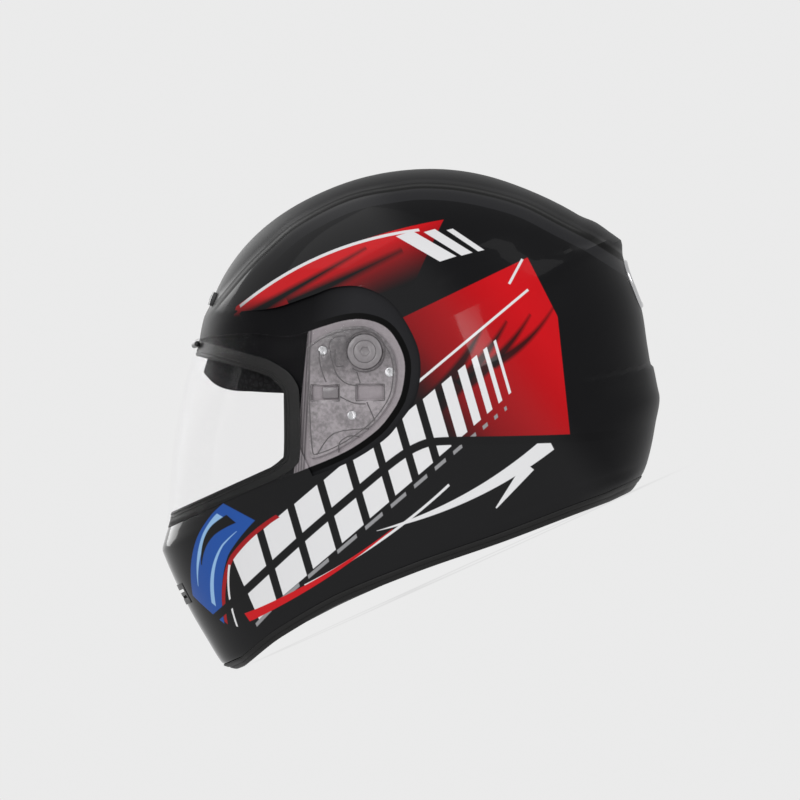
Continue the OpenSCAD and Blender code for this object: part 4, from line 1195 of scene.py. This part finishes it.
@dataclass
class Visor:
    """The clear shield with its lift tab, and the hard rings that turn on the hubs."""
    inner: float = 0.9
    thick: float = 2.2
    ring: float = 11.0

    def build(self) -> Piece:
        """Builds the shield and finishes the rings and the tab."""
        shield = layer("shield", prism("shield_outline", VISOR_LINE), (self.inner + self.thick, -10, 300, 60, 60),
                       (self.inner, -12, 300, 60, 60))
        combine(shield, post("ring_hole", self.ring, PIVOT, -160, 160, 96))
        finish_edges(shield, 0.6, 30)
        dress(shield, Look.CLEAR, "visor_shield")
        # The shield's cut faces take the pale edge material, a painted highlight.
        shield.data.materials.append(material(Look.EDGE))
        middles = np.array([face.center for face in shield.data.polygons]) / MM
        facing = np.array([face.normal for face in shield.data.polygons])
        cut = np.abs((facing * FORM.outward(middles)).sum(1)) < 0.9
        shield.data.polygons.foreach_set("material_index", cut.astype(np.int32))
        path = FORM.point(np.radians(np.linspace(-103, -77, 30)), 200.4, 2.9)
        join(shield, tube("shield_lip", path, 1.8, 12), Look.BLACK)
        refined("visor_lift_tab", Look.CLEAR, 0.6)
        for side in ("left", "right"):
            refined(f"visor_ring_{side}", Look.RING, 0.4)
        return shield


@dataclass
class Plates:
    """The base plates under the pods, with ribs, slots, hubs, screws and release tabs."""
    top: float = -0.3
    low: float = -2.35
    arc: tuple[float, float, float] = (13.0, -150, 130)
    lines: tuple[tuple[Pair, ...], ...] = (
        ((-29.0, 0.5), (-28.4, -7), (-26.6, -14), (-24.4, -19.4)), ((-15.6, -28.6), (-7, -32.6), (0.6, -33.2)),
        ((-21.8, 0.5), (-20.6, -6.5), (-17.4, -15), (-11.6, -20.2), (-4.8, -21.6)),
        ((-22.6, 1.5), (-22, 6.4), (-18, 9.6), (-12, 9.8)), ((-18.6, 1.2), (-18.6, -8.8), (-13.4, -9)),
        ((-5, -13), (-2.8, -20)), ((1.4, -32), (6.4, -43.6)), ((-30.4, -65.6), (-19.4, -51.8), (2.6, -48.8)),
        ((-16.4, -64), (-15.8, -57.6), (-9.8, -53.6), (-3.4, -54)))

    def build(self) -> None:
        """Builds both plates and finishes what they carry."""
        for side in Side:
            label = side.name.lower()
            self.plate(side, label)
            for node in ("pivot_hub", "release_tab"):
                refined(f"{node}_{label}", Look.RING, 0.4)
        refined("base_plate_screws", Look.STEEL, 0.25)

    def plate(self, side: Side, label: str) -> Piece:
        """Builds one plate with its holes, slots and ribs."""
        reach = side.span(60.0, 140.0)
        plate = layer(f"plate_{label}", prism("plate_outline", PLATE_LINE, *reach),
                      (self.top, -10, 300, 60, 60), (self.low, -12, 300, 60, 60))
        combine(plate, post("ring_hole", 11.3, PIVOT, *reach, 96))
        for at in SCREWS:
            combine(plate, post("screw_hole", 3.05, at, *reach, sides=40))
        for y, z in ((-36.7, 138), (-10.5, 126.5)):
            combine(plate, block("slot", (side.value * 110, y, z), (60, 17, 9.5), -TILT))
        dress(finish_edges(plate, 0.25, 35), Look.PLATE, f"visor_base_{label}")

        def rib(line: Array, d: float, radius: float, count: int, loop: bool = False) -> None:
            """Lays a rib along a line of the side view, with evenly spread points where a count is given."""
            path = side_path(line, d, side)
            join(plate, tube("rib", even(path, count, loop) if count else path, radius, loop=loop), Look.RIB)

        radius, first, last = self.arc
        a = np.radians(np.linspace(first, last, 40))
        rib(np.column_stack([PIVOT[0] + radius * np.cos(a), PIVOT[1] + radius * np.sin(a)]), -0.55, 0.5, 0)
        middle = PLATE_LINE.mean(0)
        rib((middle + (PLATE_LINE - middle) * np.array([0.94, 0.95]))[:-1], -0.5, 0.42, 200, True)
        for line in self.lines:
            rib(from_plan(flow(line)), -0.52, 0.45, 30)
        for u, v in ((-25.1, -26.1), (3.5, -25.8)):
            corners = np.array([(u - 9, v - 5.2), (u + 9, v - 5.2), (u + 9, v + 5.2), (u - 9, v + 5.2)])
            rib(from_plan(corners), -0.52, 0.45, 72, True)
        return plate


@dataclass
class Vents:
    """The brow and chin vents and the bright exhaust at the back."""
    ring_w: float = 52.0
    ring_h: float = 33.0
    ring_in: float = 6.5

    def build(self) -> None:
        """Builds the vents."""
        for node, round_by in (("brow_vent_housing", 0.4), ("brow_vent_slider", 0.3), ("chin_vent_grille", 0.3),
                               ("chin_vent_shutter", 0.3), ("exhaust_mesh", 0.15)):
            refined(node, Look.BLACK, round_by)
        self.exhaust()

    def exhaust(self) -> Piece:
        """Builds the oval exhaust ring: a rounded bright lip that follows the shell, with a neck inside it."""
        section = np.array([(0.0, 0.1), (0.25, 1.0), (1.0, 1.7), (2.2, 1.8), (3.6, 1.5), (5.4, 0.6),
                            (self.ring_in, -0.6), (self.ring_in, -9.4), (4.1, -9.4), (4.1, 0.1)])
        straight = (self.ring_w - self.ring_h) / 2

        def place(u: Array, v: Array) -> Array:
            """Points of the ring's section round the oval."""
            inset, d = section[np.rint(v * len(section)).astype(int) % len(section)].T
            a = 2 * math.pi * u
            r = self.ring_h / 2 - inset
            x = r * np.cos(a) + straight * np.clip(np.cos(a) * 6, -1, 1)
            z = EXHAUST_Z + r * np.sin(a)
            return np.stack([x, FORM.y_at(x, z, d, True), z], axis=-1)

        obj = grid("exhaust_lip", 120, len(section), place)
        return dress(finish_edges(obj, angle=50), Look.BRIGHT, "exhaust_ring")


class Liner:
    """Foam, fabric liner, cheek pads, neck roll, curtain and breath guard."""

    def build(self) -> None:
        """Builds the inside."""
        self.foam()
        refined("chin_foam", Look.FOAM, 0, flat=False, angle=40)
        refined("breath_guard", Look.BLACK, 0.3, angle=40)
        refined("cheek_pad_studs", Look.BLACK, 0.4)
        self.comfort()
        for node, cell in (("cheek_pad_left", 5.0), ("cheek_pad_right", 5.0), ("neck_roll", 4.0)):
            self.cushion(node, cell)
        self.curtain()

    @staticmethod
    def curtain() -> Piece:
        """Builds the curtain under the chin: knitted cloth that sags a little, with a rolled hem."""
        cloth = copy_of("chin_curtain", "curtain_cloth")
        edit(cloth, lambda: bpy.ops.mesh.subdivide(number_cuts=5))
        points = read(cloth)

        def hang(x: Array, y: Array) -> Array:
            """How far the cloth sags under its fixed edge."""
            fixed = FORM.y_at(x, np.full_like(x, 12.5), -9.0)
            return 2.4 * ease(0, 26, y - fixed) * (1 - ease(40, 66, np.abs(x)))

        points[:, 2] -= hang(points[:, 0], points[:, 1])
        write(cloth, points)
        a = np.radians(np.linspace(6, 174, 80))
        x, y = 58 * np.cos(a), -104 - 20 * np.sin(a)
        join(cloth, tube("curtain_hem", np.column_stack([x, y, 13.1 - hang(x, y)]), 1.5, 10))
        dress(finish_edges(cloth, angle=60), Look.KNIT, "chin_curtain")
        return cloth

    @staticmethod
    def foam() -> Piece:
        """Builds the impact foam, with a smooth rounded edge over the brow."""
        brow = flow([(-107, 212), (-106, 193.2), (-103.4, 184.5), (-99, 172.3), (-91, 164.3), (-80.5, 158.7),
                     (-70, 153.2), (-60, 148.3)], 8)
        line = np.concatenate([brow, [(-46, 144), (-46, 114), (33, 114), (35, 42), (FAR, 42), (FAR, 300),
                                      (-107, 300)]])
        foam = layer("foam", prism("foam_outline", line), (-5.1, 36.0, 240, 50, 56), (-33.1, 24.0, 160, 40, 40))
        room = prism("seal_room", np.array([(-FAR, 90), (-FAR, 208), (-80, 208), (-46, 172), (-46, 90)]))
        combine(room, form_solid("seal_core", -8.5, -10.0, 200, 60, 50))
        combine(foam, room)
        combine(foam, brow_block((52, 12, 24)))
        combine(foam, exhaust_hole(52, 33, 21))
        return dress(finish_edges(foam, 1.5, 40), Look.FOAM, "foam_liner")

    @staticmethod
    def comfort() -> Piece:
        """Builds the fabric liner with padded channels between seams."""
        line = np.array([(-100, 208), (-100, 186.1), (-96, 174), (-88, 166.3), (-78, 161.2), (-60, 151.6),
                         (-43, 147), (-43, 122), (38, 122), (40, 56), (FAR, 56), (FAR, 300), (-100, 300)], float)
        pad = form_solid("comfort", -34.2, 50.0, 160, 40, 40)
        combine(pad, prism("comfort_outline", line), "INTERSECT")
        hollow = form_solid("comfort_hollow", -41.0, 40.0, 220, 60, 60)

        def quilt(p: Array) -> Array:
            """How far the padding gives way: deep in the channels and raised at the seams."""
            seam = np.minimum(np.abs((p[:, 0] + 15) % 30 - 15), np.abs((p[:, 1] + 250) % 42 - 21))
            return -1.0 + 2.2 * (1 - ease(0, 5, seam))

        push(hollow, quilt)
        return dress(finish_edges(combine(pad, hollow), 0.8, 45), Look.KNIT, "comfort_liner")

    @staticmethod
    def cushion(node: str, cell: float) -> Piece:
        """Fills a copy of a pad out as cloth between its edges, with cells of a size in millimetres."""
        obj = soft_copy(node, cell)
        before = push(obj, -1.2)
        inflate(obj, before)
        modify(obj, "SUBSURF", levels=1, render_levels=1)
        bpy.ops.object.shade_smooth()
        return dress(obj, Look.KNIT, node)


def inflate(obj: Piece, before: Array, frames: int = 20, most: float = 2.2) -> None:
    """Runs a piece as cloth with pressure inside and caps how far its points move."""
    scene = bpy.context.scene
    scene.frame_start, scene.frame_end = 1, frames
    cloth = obj.modifiers.new("cloth", "CLOTH")
    cloth.settings.use_pressure = True
    cloth.settings.uniform_pressure_force = 4.0
    cloth.settings.effector_weights.gravity = 0.0
    cloth.settings.quality = 6
    cloth.point_cache.frame_start, cloth.point_cache.frame_end = 1, frames
    for number in range(1, frames + 1):
        scene.frame_set(number)
    take(obj)
    bpy.ops.object.modifier_apply(modifier=cloth.name)
    scene.frame_set(1)
    moved = read(obj) - before
    far = np.linalg.norm(moved, axis=1)[:, None]
    write(obj, before + moved * np.minimum(1, most / np.maximum(far, 1e-6)))


class Retention:
    """The chin strap with its anchors, pads and ratchet buckle."""

    def build(self) -> None:
        """Finishes the strap's pieces."""
        for side in ("left", "right"):
            refined(f"chin_strap_{side}", Look.WEBBING, 0.4, flat=False, angle=60)
            self.pad(f"strap_pad_{side}")
        for node, look, round_by in (
                ("strap_anchors", Look.STEEL, 0.4), ("anchor_rivets", Look.STEEL, 0.5),
                ("buckle_housing", Look.BLACK, 0.5), ("buckle_pin", Look.STEEL, 0.2),
                ("buckle_spring", Look.STEEL, 0.2), ("buckle_lever", Look.RED, 0.5),
                ("buckle_tongue", Look.BLACK, 0.2)):
            refined(node, look, round_by)

    @staticmethod
    def pad(node: str) -> Piece:
        """Rounds a thin pad into a soft form."""
        obj = soft_copy(node, 1.3)
        edit(obj, lambda: bpy.ops.mesh.vertices_smooth(factor=0.6, repeat=5))
        push(obj, 0.35)
        bpy.ops.object.shade_smooth()
        return dress(obj, Look.KNIT, node)


@dataclass
class Studio:
    """Camera, lamps, floor and background of the picture."""
    distance: float = 12000.0
    width: float = 512.0
    ground: float = 0.8286
    lamps: tuple = (
        ("key", (1.75, -0.6, 1.1), (1.1, 1.1), 17.0), ("top", (0.15, 0.1, 1.7), (1.0, 1.0), 1.5),
        ("back", (0.75, 1.5, 0.75), (0.35, 1.1), 5.0), ("low", (1.7, 0.75, -0.05), (0.3, 0.6), 3.0),
        ("fill", (-1.4, -0.6, 0.9), (1.0, 1.0), 7.0))

    def build(self) -> None:
        """Sets the stage."""
        self.camera()
        self.world()
        self.floor()
        for name, place, size, power in self.lamps:
            data = bpy.data.lights.new(name, "AREA")
            data.shape, data.size, data.size_y, data.energy = "RECTANGLE", *size, power
            obj = self.place(name, data)
            obj.location = place
            obj.rotation_euler = (Vector((0, 0, 0.13)) - Vector(place)).to_track_quat("-Z", "Y").to_euler()

    @staticmethod
    def place(name: str, data: bpy.types.ID) -> Piece:
        """Adds an object to the scene."""
        obj = bpy.data.objects.new(name, data)
        bpy.context.scene.collection.objects.link(obj)
        return obj

    def camera(self) -> None:
        """Places the camera on the wearer's left, rolled by the helmet's pitch in the picture."""
        cam = bpy.data.cameras.new("camera")
        obj = self.place("camera", cam)
        right, up = Vector((0, COS, -SIN)), Vector((0, SIN, COS))
        turned = Matrix((right, up, Vector((1, 0, 0)))).transposed().to_4x4()
        turned.translation = (Vector((25 + self.distance, *ORIGIN)) + right * 22.4 - up * 30.72) * MM
        obj.matrix_world = turned
        cam.sensor_width, cam.lens, cam.clip_end = 36, 36 * self.distance / self.width, 100
        bpy.context.scene.camera = obj

    def world(self) -> None:
        """Shows a pale even background to the camera and in reflections, and lights softly."""
        world = bpy.data.worlds.new("studio")
        bpy.context.scene.world = world
        world.use_nodes = True
        n = Nodes(world.node_tree)
        rays = n.add("ShaderNodeLightPath").outputs
        seen = rays["Is Camera Ray"]
        for ray in ("Is Glossy Ray", "Is Transmission Ray"):
            seen = n.math("ADD", seen, rays[ray], clamp=True)
        n.fill(world.node_tree.nodes["Background"],
               {"Color": n.mix(seen, (0.36, 0.36, 0.365), (self.ground,) * 3), "Strength": 1.0})

    def floor(self) -> None:
        """Lays a glowing floor with a soft contact shadow painted into its glow by ambient occlusion, which ends
        without an edge and is clear from below.
        """
        bpy.ops.mesh.primitive_circle_add(vertices=96, radius=0.62, fill_type="NGON", location=(0, 0, -0.0005))
        obj = named("floor")
        mat, n, shader, place = start("floor")
        n.tree.nodes.remove(shader)
        away = n.make("ShaderNodeVectorMath", {0: place}, "Value", operation="LENGTH")
        # Painted contact shadow: ambient occlusion dims the floor's glow near the helmet, fading out away from
        # it.
        contact = n.make("ShaderNodeAmbientOcclusion", {"Distance": 0.06}, "AO", samples=8)
        shade = n.blend(away.step(0.09, 0.175), n.blend(contact, 0.8, 1.0), 1.0)
        glow = n.add("ShaderNodeEmission", {"Color": (self.ground,) * 3, "Strength": shade})
        n.show_through(n.make("ShaderNodeNewGeometry", {}, "Backfacing"), glow.outputs[0])
        obj.data.materials.append(mat)


def main() -> None:
    """Builds the helmet and its stage."""
    logging.basicConfig(level=logging.INFO, format="%(message)s")
    bpy.context.scene.view_settings.view_transform = "Standard"
    Shell().build()
    rims = Rims()
    rims.bottom()
    rims.port()
    for part in (Visor(), Plates(), Vents(), Liner(), Retention(), Studio()):
        part.build()


if __name__ == "__main__":
    main()
